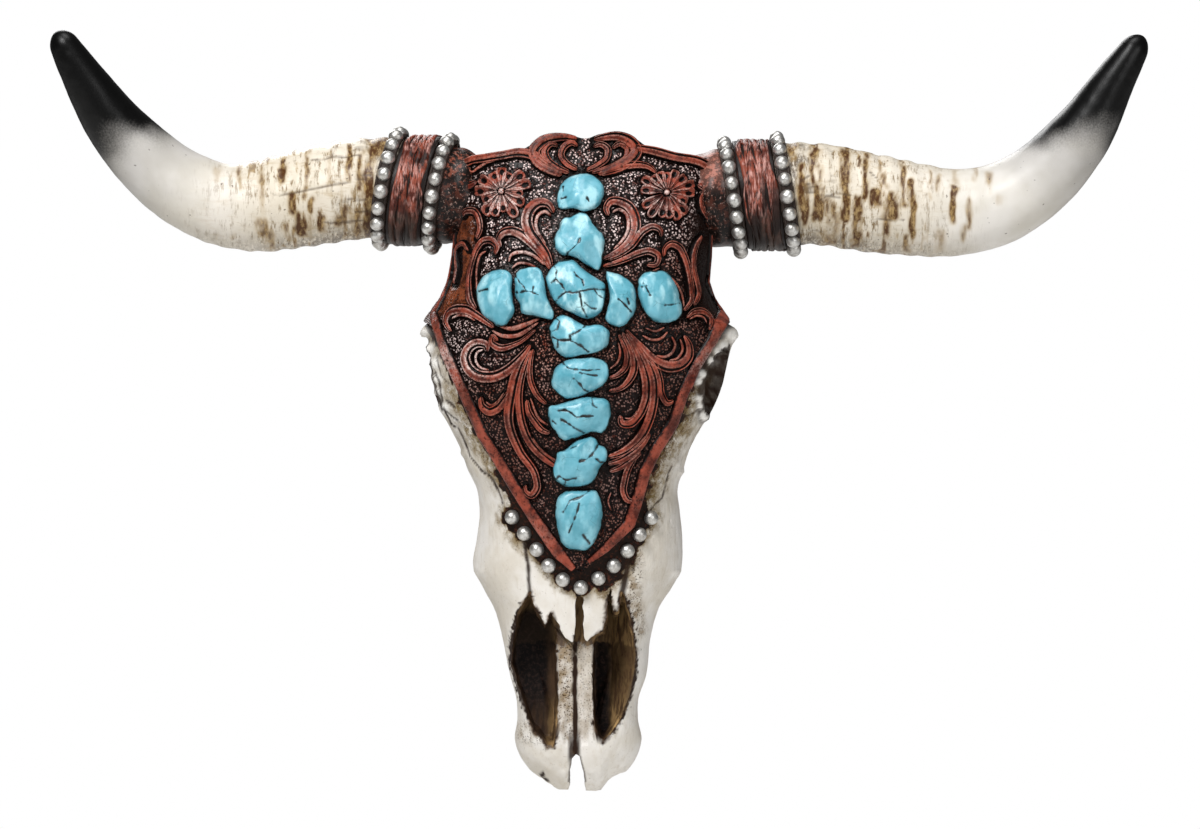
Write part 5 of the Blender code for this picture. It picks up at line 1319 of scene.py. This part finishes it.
# Brown rings in front: x, lowest and highest z, half width, and strength of the stain.
RINGS_LEFT = [
    (-168.2, 69, 76.9, 2.3, 0.3), (-158, 69, 78.3, 1.4, 0.5), (-147.7, 67.6, 80.2, 1.4, 0.5),
    (-147.3, 53.6, 67.6, 1.6, 0.45), (-147.7, 43.8, 52.2, 2.3, 0.75), (-144, 37.3, 43.8, 2.3, 0.55),
    (-137.9, 69, 80.2, 1.6, 0.8), (-136.1, 41.9, 50.3, 1.9, 0.5), (-133.3, 53.6, 63.4, 2.1, 1),
    (-129.5, 43.8, 54.5, 3.3, 0.85), (-127.2, 60.6, 83.9, 1.4, 0.75), (-124, 54.5, 61.5, 1.4, 1),
    (-124.9, 41.9, 53.6, 1.4, 0.4), (-120.2, 45.7, 53.1, 2.8, 0.75), (-117, 60.6, 83.9, 1.2, 0.35),
    (-111.8, 48.5, 54.1, 2.8, 0.65), (-107.2, 69, 87.1, 1.4, 0.85), (-110.4, 50.3, 69.9, 1.2, 0.35),
    (-105.3, 53.6, 65.2, 1.4, 0.5), (-101.6, 60.6, 81.6, 1.6, 0.85), (-97.9, 41.9, 83.9, 2.6, 1),
    (-93.7, 81.6, 90.4, 4.2, 1), (-103.5, 41.9, 56.9, 3.3, 0.6),
]
RINGS_RIGHT = [
    (99.7, 79.2, 89.5, 2.3, 1), (104.4, 48.9, 76.9, 2.3, 1), (110.4, 65.2, 88.5, 2.1, 0.9),
    (111.4, 50.3, 67.6, 2.6, 1), (116, 53.6, 61.5, 2.3, 0.8), (117.9, 52.2, 62.9, 1.4, 0.6),
    (124, 67.6, 88.1, 2.3, 0.85), (123.5, 50.3, 68.5, 2.1, 1), (130, 53.1, 62.4, 2.3, 1),
    (133.7, 60.6, 84.8, 1.9, 0.75), (138.4, 57.3, 65.2, 2.3, 1), (140.3, 64.3, 81.1, 0.9, 0.6),
    (145.4, 51.3, 63.8, 4.2, 0.85), (150.5, 56.9, 80.2, 1.4, 0.8), (154.7, 41.9, 69.9, 1.6, 1),
    (143.1, 41.9, 54.1, 1.6, 0.65), (129.5, 41, 55, 2.3, 0.85), (117, 39.6, 55, 4.7, 0.55),
    (163.6, 60.6, 75.5, 0.9, 0.45), (167.3, 64.3, 74.6, 1.4, 0.5), (173.8, 49.4, 67.1, 1.6, 0.9),
    (175.2, 67.1, 80.2, 1.9, 0.35), (182.2, 46.6, 61.5, 1.6, 0.6), (184.5, 69, 76.9, 1.9, 0.4),
    (190.6, 62.4, 73.6, 1.9, 0.45), (179.4, 41, 48.9, 1.9, 0.5), (168.2, 36.3, 46.6, 2.8, 0.4),
    (151.9, 36.3, 44.3, 3.3, 0.55), (195.3, 57.8, 62.9, 3.7, 0.25),
]
# Scratches drawn seen from the front: half width and line.
LINES_LEFT = [
    (0.35, [(-141.7, 62.4), (-130, 64.3), (-109, 68.5), (-97.4, 70.8)]),
    (0.35, [(-124.4, 79.2), (-112, 80.6), (-102.1, 81.6)]),
    (0.5, [(-107.6, 60.6), (-99.3, 60.6)]), (0.35, [(-118.4, 49.9), (-108, 49.6), (-99.7, 51.3)]),
    (0.4, [(-103, 71.5), (-97, 72.4)]), (0.4, [(-104, 55), (-97, 54.6)]),
]
LINES_RIGHT = [
    (0.35, [(105, 64.3), (113, 62.8), (121.6, 61.5)]),
    (0.3, [(112.3, 60.6), (119, 63.4), (126, 62.4)]),
    (0.35, [(135.6, 73.6), (139.3, 70.4)]), (0.45, [(107, 71.8), (103, 69)]),
    (0.4, [(106, 68), (111, 66)]), (0.3, [(138, 51.3), (151, 50.8)]),
]
# How far out in x the black starts in front and at the edges, and how much its edge tilts.
BLACK_LEFT, BLACK_RIGHT = (212.0, 203.5, 4.5), (233.0, 225.0, 12.0)
TIP = 7.0  # length of the rounded tip


def section_frames(axis):
    """For each ring of a tube: the way along it, the way out to the front, and the way up."""
    ahead = np.gradient(axis, axis=0)
    ahead /= np.linalg.norm(ahead, axis=1, keepdims=True)
    front = np.array([0.0, -1.0, 0.0]) - ahead * (-ahead[:, 1:2])
    front /= np.linalg.norm(front, axis=1, keepdims=True)
    up = np.cross(ahead, front)
    up *= np.sign(up[:, 2:3])
    return ahead, front, up


def growth_rings(flat, axis_x, behind, rings, side):
    """How brown each place is, and the grooves of the named rings, in millimetres."""
    x, z = flat[:, 0], flat[:, 2]
    ringed = ease(axis_x, 200, 135)
    stain, height = np.zeros(len(flat)), np.zeros(len(flat))
    wobble = 1.5 * rough(flat * (1, 1, 0.7), 6, 2, seed=101)
    broken = np.clip(1.0 + 0.8 * rough(flat * (1, 0.28, 0.28), 2.2, 3, seed=103), 0.25, 1.25)
    for ring_x, low, high, half, strength in rings:
        away = np.abs(x + 0.8 * wobble - ring_x) / half
        reach = ease(z, low - 2.5, low + 1.5) * (1 - ease(z, high - 1.5, high + 2.5))
        stain = np.maximum(stain, 1.25 * strength * np.exp(-away**2 * 0.8) * reach * broken)
        height -= 0.30 * strength * np.exp(-away**2) * reach
    # Behind, where no ring was measured, they run on at their own pace.
    pace = np.sin((np.abs(x) + 2.5 * noise(flat, 14, seed=105)) * 0.62) * ringed
    stain = np.maximum(stain, behind * ease(pace + 0.5 * rough(flat, 3, 3, seed=107), 0.75, 1.3) * 0.8)
    # Between the named rings run many finer ones, broken along their height.
    fine = ease(noise(flat * (1, 0.13, 0.13), 1.4, seed=133), 0.22 - 0.06 * side, 0.5 - 0.06 * side)
    fine *= ease(rough(flat * (1, 0.5, 0.5), 7, 3, seed=135) - 0.012 * (z - 60), -0.3, 0.3)
    return np.maximum(stain, 0.85 * fine * ringed * (1 - ease(axis_x, 160, 185))), height


def make_horn(name, rows, side, rings, lines, black, around=150, along=330):
    """One horn from root to tip; side is -1 for the left."""
    track = smooth_line(rows, 4 * along)
    gone = distances(track[:, :3])
    rounding = np.sin(np.linspace(0, math.pi / 2, 15)[1:])
    wanted = np.concatenate([np.linspace(0, gone[-1] - TIP, along - 14), gone[-1] - TIP * (1 - rounding)])
    track = np.column_stack([np.interp(wanted, gone, track[:, k]) for k in range(4)])
    from_tip = gone[-1] - wanted
    radius = track[:, 3] * np.sqrt(np.clip(1 - (1 - np.clip(from_tip / TIP, 0, 1)) ** 2, 0.002, 1))
    ahead, front, up = section_frames(track[:, :3])
    turn = np.linspace(0, 2 * math.pi, around, endpoint=False)
    circle = front[:, None] * np.cos(turn)[:, None] + up[:, None] * np.sin(turn)[:, None]
    flat = (track[:, None, :3] + circle * radius[:, None, None]).reshape(-1, 3)
    circle = circle.reshape(-1, 3)
    x, z, seen = flat[:, 0], flat[:, 2], -circle[:, 1]
    axis_x = np.repeat(np.abs(track[:, 0]), around)
    ringed = ease(axis_x, 200, 135)
    stain, height = growth_rings(flat, axis_x, ease(-seen, -0.15, 0.35), rings, side)
    growth = np.abs(x) * 0.62 + 1.6 * noise(flat, 12, seed=109)
    height += ringed * (0.32 * np.sin(growth) + 0.25 * noise(flat * (1, 0.25, 0.25), 3.0, seed=111))
    height += 0.16 * rough(flat, 9, 3, seed=113) + 0.05 * rough(flat, 1.8, 2, seed=115) * (0.3 + ringed)
    scratch = np.zeros(len(flat))
    for half, line in lines:
        away = line_distance(x, z, line) + 0.2 * noise(flat, 2, seed=117)
        mark = (1 - ease(away, 0.4 * half, 1.6 * half)) * (seen > 0)
        scratch = np.maximum(scratch, mark)
        height -= 0.25 * mark
    comb = ease(noise(flat * (0.18, 1, 1), 1.1, seed=119), 0.35, 0.6) * ease(axis_x, 130, 112)
    scratch = np.maximum(scratch, 0.55 * comb * ease(rough(flat, 6, 2, seed=121), 0.0, 0.5))
    height *= np.repeat(ease(from_tip, 0, 6), around)
    ends = [track[0, :3], track[-1, :3] + ahead[-1] * 0.05]
    points = np.concatenate([flat + circle * height[:, None], ends])
    horn = mesh_object(name, points, tube_faces(along, around))
    if side < 0:
        horn.data.flip_normals()
    in_front, at_edge, tilt = black
    start = at_edge + (in_front - at_edge) * np.clip(seen, 0, 1) ** 1.5
    start += 2.5 * rough(flat, 12, 2, seed=123) - tilt * circle[:, 2]
    shaded = abs(rows[2][0]) + 32  # how far out in x the lashing shades the horn
    shade = ease(-z + 3 * rough(flat, 8, 2, seed=127), -62, -42)
    shade *= ease(0.85 - seen, -0.1, 0.6) * ease(axis_x, 200, shaded)
    near = ease(axis_x + 5 * rough(flat, 5, 3, seed=129), shaded + 5, shaded - 5)
    for title, values in {
        "stain": stain, "dark": scratch, "ringed": ringed, "warm": (side > 0) * ease(z, 62, 74),
        "black": ease(axis_x, start - 12, start + 13), "smoke": ease(axis_x, start - 34, start - 2) * 0.5,
        "shade": np.maximum(shade, near),
        "root": ease(axis_x + 1.2 * rough(flat, 4, 2, seed=131), shaded - 22, shaded - 25),
    }.items():
        layer(horn, title, np.append(values, [values[0], values[-1]]))
    return horn


# Satin ivory acrylic with a slight gloss, clouded every 30 mm. The wash that rings it is streaked along the
# rings, 1.5 to 2.4 mm wide; the black of the tips is sprayed on and thins out in drops 0.8 mm wide. The short
# roots inside the lashings are painted as leather: red-brown patches on their upper half and nearly black
# below, with a paler red on top of the right one.
ivory = Paint("ivory_horn_paint", "#dedad4", roughness=0.36, specular=0.22)
ivory.coat("#cdc8be", (ivory.grain(30, 3, 0.6, seed=12.0), 0.35, 0.65))
ivory.coat("#d8cbb3", "ringed", 0.55)
ivory.coat("#b9a88c", "ringed", (ivory.grain(2.4, 4, 0.7, stretch=(0.25, 1, 1), seed=2.2), 0.50, 0.70), 0.55)
fine_ring = (ivory.grain(1.5, 4, 0.75, stretch=(1, 0.18, 0.18), seed=5.0), 0.49, 0.62)
ivory.coat("#7c6748", fine_ring, (ivory.grain(7, 3, 0.6, seed=8.8), 0.38, 0.60), "ringed")
ivory.coat("#5c4f40", "shade", (ivory.grain(1.6, 4, 0.75, stretch=(1, 0.4, 0.4), seed=6.6), 0.36, 0.56))
darker = (ivory.grain(2.2, 4, 0.7, stretch=(1, 0.5, 0.5), seed=3.7), 0.30, 0.58)
stain_tone = ivory.mix("#a58a5c", "#4c2e14", ("stain", 0.25, 0.95), darker)
ivory.coat(stain_tone, ("stain", 0.05, 0.95))
ivory.coat("#4a3a2c", "dark", 0.7)
ivory.coat("#4a3d30", (ivory.grain(2.1, 1, 0.4, seed=6.1), 0.755, 0.785), 0.7)
height = add(ivory.tree, "ShaderNodeSeparateXYZ", {0: ivory.place()}).outputs[2]
worn = ivory.grain(3.6, 4, 0.75, seed=4.4)
leathery = ivory.mix("#0f0806", "#8a4c3a", (worn, 0.50, 0.60), (height, 0.062, 0.080))
leathery = ivory.mix(leathery, "#6a3627", (worn, 0.50, 0.60), 0.35)
leathery = ivory.mix(leathery, "#8a6f66", (ivory.grain(1.2, 3, 0.7, seed=4.9), 0.58, 0.66))
leathery = ivory.mix(leathery, "#a3695a", "warm", (ivory.share((worn, 0.50, 0.60)), -0.6, 1.0))
ivory.coat(leathery, "root")
ivory.coat("#8d8b8b", "smoke")
ivory.coat("#040404", (ivory.frayed("black", ivory.grain(0.8, 2, 0.6, seed=9.5), 0.3), 0.22, 1.05))
ivory.relief(ivory.grain(0.6, 3, 0.6, seed=7.0), 0.06)
horn = make_horn("left_horn", HORN_LEFT, -1, RINGS_LEFT, LINES_LEFT, BLACK_LEFT)
finished(horn, ivory, "horn", "horn_left")
horn = make_horn("right_horn", HORN_RIGHT, 1, RINGS_RIGHT, LINES_RIGHT, BLACK_RIGHT)
finished(horn, ivory, "horn", "horn_right")


# Lashings: each horn's root is bound with wide leather strands between two rims of round-headed silver
# studs, all cast in the resin and painted. The rims lean outwards below, and turn outwards in front.
# Lean and turn are in degrees; inner and outer are the rims' places on the horn's axis.
WRAPS = {
    "left": dict(rows=HORN_LEFT, side=-1, lean=10.0, turn=8.0, inner=-64.6, outer=-88.3, seed=40),
    "right": dict(rows=HORN_RIGHT, side=1, lean=8.7, turn=0.0, inner=71.8, outer=96.5, seed=20),
}
# Studs of a rim, their radius, how far their middles stand off the horn, and the room that half a rim takes.
STUDS, STUD_RADIUS, RIM_LIFT, RIM_ROOM = 20, 3.35, 2.2, 3.6
AROUND_HORN, STRAND_ROWS = 200, 11  # points round the horn, and across a strand


def round_horn(wrap, x, turn, reach, shift=0.0):
    """Places round the horn where its axis passes x: turn 0 is the top and 90 degrees the front."""
    track = smooth_line(wrap["rows"], 400)
    track = track[np.argsort(track[:, 0])]
    middle_y, middle_z, radius = (np.interp(x, track[:, 0], track[:, k]) for k in (1, 2, 3))
    out = np.stack([0 * turn, -np.sin(turn), np.cos(turn)], axis=-1)
    place = out * (radius + np.asarray(reach))[..., None]
    lean, swing = (wrap["side"] * math.tan(math.radians(wrap[key])) for key in ("lean", "turn"))
    place[..., 0] = shift - swing * place[..., 1] - lean * place[..., 2]
    return np.array([x, middle_y, middle_z]) + place


def loop(wrap, x, shift, half, high, low, seed, wander, squash=2.0):
    """One strand or band round the horn: an oval section of half width and height, standing on low."""
    turn = np.linspace(0, 2 * math.pi, AROUND_HORN, endpoint=False)
    ring = np.column_stack([20 * np.cos(turn), 20 * np.sin(turn), np.full(AROUND_HORN, seed * 7.0)])
    drift = shift + wander * rough(ring, 14, 2, seed)
    width = half * (1 + 0.22 * rough(ring, 9, 2, seed + 3) * min(wander, 1.0))
    rise = high * (1 + 0.12 * rough(ring, 7, 2, seed + 5) * min(wander, 1.0))
    grid, wash_and_shade = [], []
    for angle in np.linspace(math.pi, 0, STRAND_ROWS):
        across = np.sign(math.cos(angle)) * abs(math.cos(angle)) ** (2 / squash)
        reach = low + rise * math.sin(angle) ** (2 / squash)
        grid.append(round_horn(wrap, x, turn, reach, drift + width * across))
        # Darkest at the strand's edges: wash and painted shade.
        wash_and_shade.append(np.full(AROUND_HORN, abs(across) ** 5))
    wash_and_shade = np.concatenate(wash_and_shade)
    return np.concatenate(grid), grid_faces(STRAND_ROWS, AROUND_HORN, closed=True), wash_and_shade, 1 - wash_and_shade


def stud(place, out, radius, seed, rings=13, around=22):
    """A cast round-headed stud: a slightly uneven ball, dark where it sinks into its seat, as wash and
    painted shade.
    """
    tilt = np.linspace(-math.pi / 2, math.pi / 2, rings)
    points = dome_grid(tilt, np.linspace(0, 2 * math.pi, around, endpoint=False)).reshape(-1, 3) * radius
    points = points * (1 + 0.03 * rough(points + place, 4.0, 2, seed))[:, None]
    height = points @ np.asarray(out) / radius
    faces = grid_faces(rings, around, closed=True)
    return points + place, faces, 1 - ease(height, -0.55, 0.05), ease(height, 0.0, 0.8)


# Antique silver: metal leaf, clouded every 2.6 mm and nicked finely, with dark wash and painted shade in the
# seats and on the bands under the studs, where no metal shows.
silver = Paint("antique_silver_paint", "#d8d7d4", roughness=0.42, specular=0.12)
silver.coat("#b3b0ab", (silver.grain(2.6, 3, 0.65, seed=2.0), 0.35, 0.65))
silver.coat("#4b4238", (silver.grain(0.8, 3, 0.7, seed=4.0), 0.62, 0.72), 0.6)
silver.coat("#22140d", "wash_and_shade")
bare = add(silver.tree, "ShaderNodeMath", {0: 0.92, 1: silver.share("wash_and_shade")}, operation="SUBTRACT",
           use_clamp=True)
silver.tree.links.new(bare.outputs[0], silver.shader.inputs["Metallic"])
silver.relief(silver.grain(1.1, 3, 0.7, seed=6.0), 0.10)

# Satin red-brown acrylic, clouded every 7 mm and streaked along the strands: dark stains, fibres 1.5 mm wide
# rubbed pale, partly as painted highlight on the strands' crowns, and creases 1.3 mm wide. The lower side is
# painted darker as shade, and the band under the strands and the strands' edges are nearly black, as wash and
# painted shade.
lashing = Paint("rubbed_lashing_paint", "#8c4431", roughness=0.40, specular=0.22)
lashing.coat("#4f2016", (lashing.grain(7, 3, 0.6, seed=1.0), 0.35, 0.65))
lashing.coat("#220d08", (lashing.grain(5, 4, 0.75, stretch=(1.8, 0.6, 0.6), seed=11.0), 0.50, 0.60))
fibre = (lashing.grain(1.5, 3, 0.6, stretch=(2.0, 0.3, 0.3), seed=3.0), 0.42, 0.66)
lashing.coat("#cf9d93", "rub_and_highlight", fibre, (lashing.grain(6, 2, 0.5, seed=5.0), 0.36, 0.56), 0.75)
lashing.coat("#170804", (lashing.grain(1.3, 3, 0.65, stretch=(2.4, 0.22, 0.22), seed=7.0), 0.57, 0.64), 0.9)
# Painted shade on the lower side of the lashing.
lashing.coat("#30251e", "below")
lashing.coat("#140a07", "wash_and_shade")
lashing.relief(lashing.grain(1.2, 3, 0.6, stretch=(2.4, 0.35, 0.35), seed=9.0), 0.18)

for word, wrap in WRAPS.items():
    side, seed = wrap["side"], wrap["seed"]
    middle_x = (wrap["inner"] + wrap["outer"]) / 2
    half = abs(wrap["outer"] - wrap["inner"]) / 2 - RIM_ROOM
    strips = [loop(wrap, middle_x, 0.0, half + 0.2, 1.3, 0.3, seed, wander=0.0, squash=6.0)]
    for i in range(4):
        shift = (i - 1.5) * (2 * half - 6.4) / 3
        strips.append(loop(wrap, middle_x, shift, 1.7 + 0.5 * (i % 2), 1.8, 0.7, seed + 1 + i, wander=1.5))
    for i in range(6):  # thinner strands that cross over the wide ones
        shift = (i - 2.5) * (2 * half - 5.6) / 5
        strips.append(loop(wrap, middle_x, shift, 0.5 + 0.25 * (i % 3), 0.9, 1.5, seed + 10 + i, wander=3.0))
    points, faces, wash_and_shade, rub_and_highlight = joined(strips)
    wound = mesh_object(f"{word}_lashing", points, faces)
    wash_and_shade[: AROUND_HORN * STRAND_ROWS] = 1.0  # the band under the strands
    # Low in front the dark band shows between the strands, and the lower side is darker: painted shade
    # towards the bottom.
    gap = ease(noise(points * (1.0, 0.22, 0.22), 2.6, seed=143), 0.0, 0.35)
    low_front = ease(66 - points[:, 2] + 5 * side, -6, 12) * (points[:, 1] < -38)
    layer(wound, "wash_and_shade", np.maximum(wash_and_shade, 0.9 * gap * low_front))
    layer(wound, "rub_and_highlight", rub_and_highlight)
    layer(wound, "below", 0.9 * ease(-points[:, 2] + 3 * rough(points, 6, 2, seed=141), -60, -46))
    finished(wound, lashing, "lashing", f"wrap_{word}")
    for place in ("inner", "outer"):
        x = wrap[place]
        strips = [loop(wrap, x, 0.0, 3.4, 1.5, 0.3, seed + 31, wander=0.0, squash=5.0)]
        strips += [loop(wrap, x, shift, 0.8, 1.0, 1.3, seed + 33, wander=0.15) for shift in (-2.6, 2.6)]
        bands = len(strips) * AROUND_HORN * STRAND_ROWS
        for i, turn in enumerate(2 * math.pi * (np.arange(STUDS) + 0.25) / STUDS):
            centre = round_horn(wrap, x, np.array([turn]), np.array([RIM_LIFT]))[0]
            out = (0.0, -math.sin(turn), math.cos(turn))
            strips.append(stud(centre, out, STUD_RADIUS * (1 + 0.04 * math.sin(9.0 * i)), seed + i))
        points, faces, wash_and_shade, _ = joined(strips)
        # The bands under the studs are nearly black: wash and painted shade between the studs.
        wash_and_shade[:bands] = 0.97
        rim = mesh_object(f"{word}_{place}_rim", points, faces)
        layer(rim, "wash_and_shade", wash_and_shade)
        finished(rim, silver, "silver", f"rim_{word}_{place}")


# Stud row: eleven round-headed studs cast in the bone under the cover's point, painted antique silver. They
# stand out from the bone at right angles, about a third of their radius proud of its face.
ROW_STUDS, ROW_RADIUS = 11, 3.4
for i, (x, z) in enumerate(smooth_line(ROW_LINE, ROW_STUDS)):
    middle, left, right, low, high = -front_depth(
        x + np.array([0, -2, 2, 0, 0]), z + np.array([0, 0, 0, -2, 2]), SKULL)
    out = np.array([(right - left) / 4, -1.0, (high - low) / 4])
    out /= np.linalg.norm(out)
    place = np.array([x, middle, z]) + out * 0.35 * ROW_RADIUS
    points, faces, wash_and_shade, _ = stud(place, out, ROW_RADIUS, 200 + i)
    bead = mesh_object(f"row_stud_{i + 1:02d}", points, faces)
    layer(bead, "wash_and_shade", wash_and_shade)
    finished(bead, silver, "silver", f"bead_{i + 1:02d}")


# Hanger: a zinc-plated steel keyhole plate let into the flat back, kept as the solid has it. The plating's
# spangle is 2.2 mm wide, dulled in patches of 5 mm, with the fine lines of the rolled sheet.
zinc = Paint("zinc_plated_steel", "#a9adb0", roughness=0.38, metallic=1.0)
spangle = add(zinc.tree, "ShaderNodeSeparateColor", {0: zinc.cells(2.2, output="Color")}).outputs[0]
zinc.coat("#c4c6c7", spangle)
zinc.coat("#7d7c78", (zinc.grain(5, 4, 0.7), 0.56, 0.72), 0.4)
zinc.relief(zinc.grain(0.6, 3, 0.6, stretch=(1, 1, 8)), 0.02)
for material_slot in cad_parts["hanger_plate"].material_slots:
    material_slot.material = zinc.material


# Stage: a pale matt floor below the ornament, a white surround, four soft lamps, and the camera level with
# the ornament's middle. The floor's tone changes a little every 400 mm. Lamps and camera are in metres.
FLOOR_RADIUS, FLOOR_HEIGHT, FLOOR_CORNERS = 1300.0, -300.0, 96
LIT_BY_SURROUND = 0.10  # how strongly the surround lights the ornament; the camera sees it at full strength
AIM = Vector((0.0, -0.03, 0.0))
# Name, place, diameter and watts.
LAMPS = [
    ("key", (-0.8, -1.8, 1.6), 0.8, 56), ("fill", (1.3, -2.0, 0.3), 1.2, 13),
    ("top", (0.1, -0.5, 1.9), 0.9, 16), ("back", (-0.6, 1.8, 1.2), 1.2, 20),
]
scene = bpy.context.scene
scene.view_settings.view_transform = "Standard"
turns = np.linspace(0, 2 * math.pi, FLOOR_CORNERS, endpoint=False)
rim = [(FLOOR_RADIUS * math.cos(a), FLOOR_RADIUS * math.sin(a), FLOOR_HEIGHT) for a in turns]
floor = mesh_object("floor", rim, [list(range(FLOOR_CORNERS))])
floor_paint = Paint("pale_matt_floor", "#e9e8e6", roughness=0.8)
floor_paint.coat("#e2e1df", (floor_paint.grain(400, 2, 0.5), 0.3, 0.7))
floor.data.materials.append(floor_paint.material)

world = bpy.data.worlds.new("white_surround")
scene.world = world
world.use_nodes = True
background = world.node_tree.nodes["Background"]
background.inputs["Color"].default_value = (1, 1, 1, 1)
seen = add(world.node_tree, "ShaderNodeLightPath").outputs["Is Camera Ray"]
strength = add(world.node_tree, "ShaderNodeMapRange", {0: seen, 3: LIT_BY_SURROUND, 4: 1.0}).outputs[0]
world.node_tree.links.new(strength, background.inputs["Strength"])

for name, place, size, power in LAMPS:
    light = bpy.data.lights.new(name, "AREA")
    light.shape = "DISK"
    light.size = size
    light.energy = power
    lamp = bpy.data.objects.new(name, light)
    lamp.location = place
    lamp.rotation_euler = (AIM - Vector(place)).to_track_quat("-Z", "Y").to_euler()
    scene.collection.objects.link(lamp)

camera = bpy.data.cameras.new("camera")
camera.sensor_width = 36.0
camera.lens = 257.5
camera.clip_start, camera.clip_end = 0.1, 50.0
viewer = bpy.data.objects.new("camera", camera)
viewer.location = (0.009786, -4.05, -0.0394)
viewer.rotation_euler = (math.pi / 2, 0, 0)
scene.collection.objects.link(viewer)
scene.camera = viewer
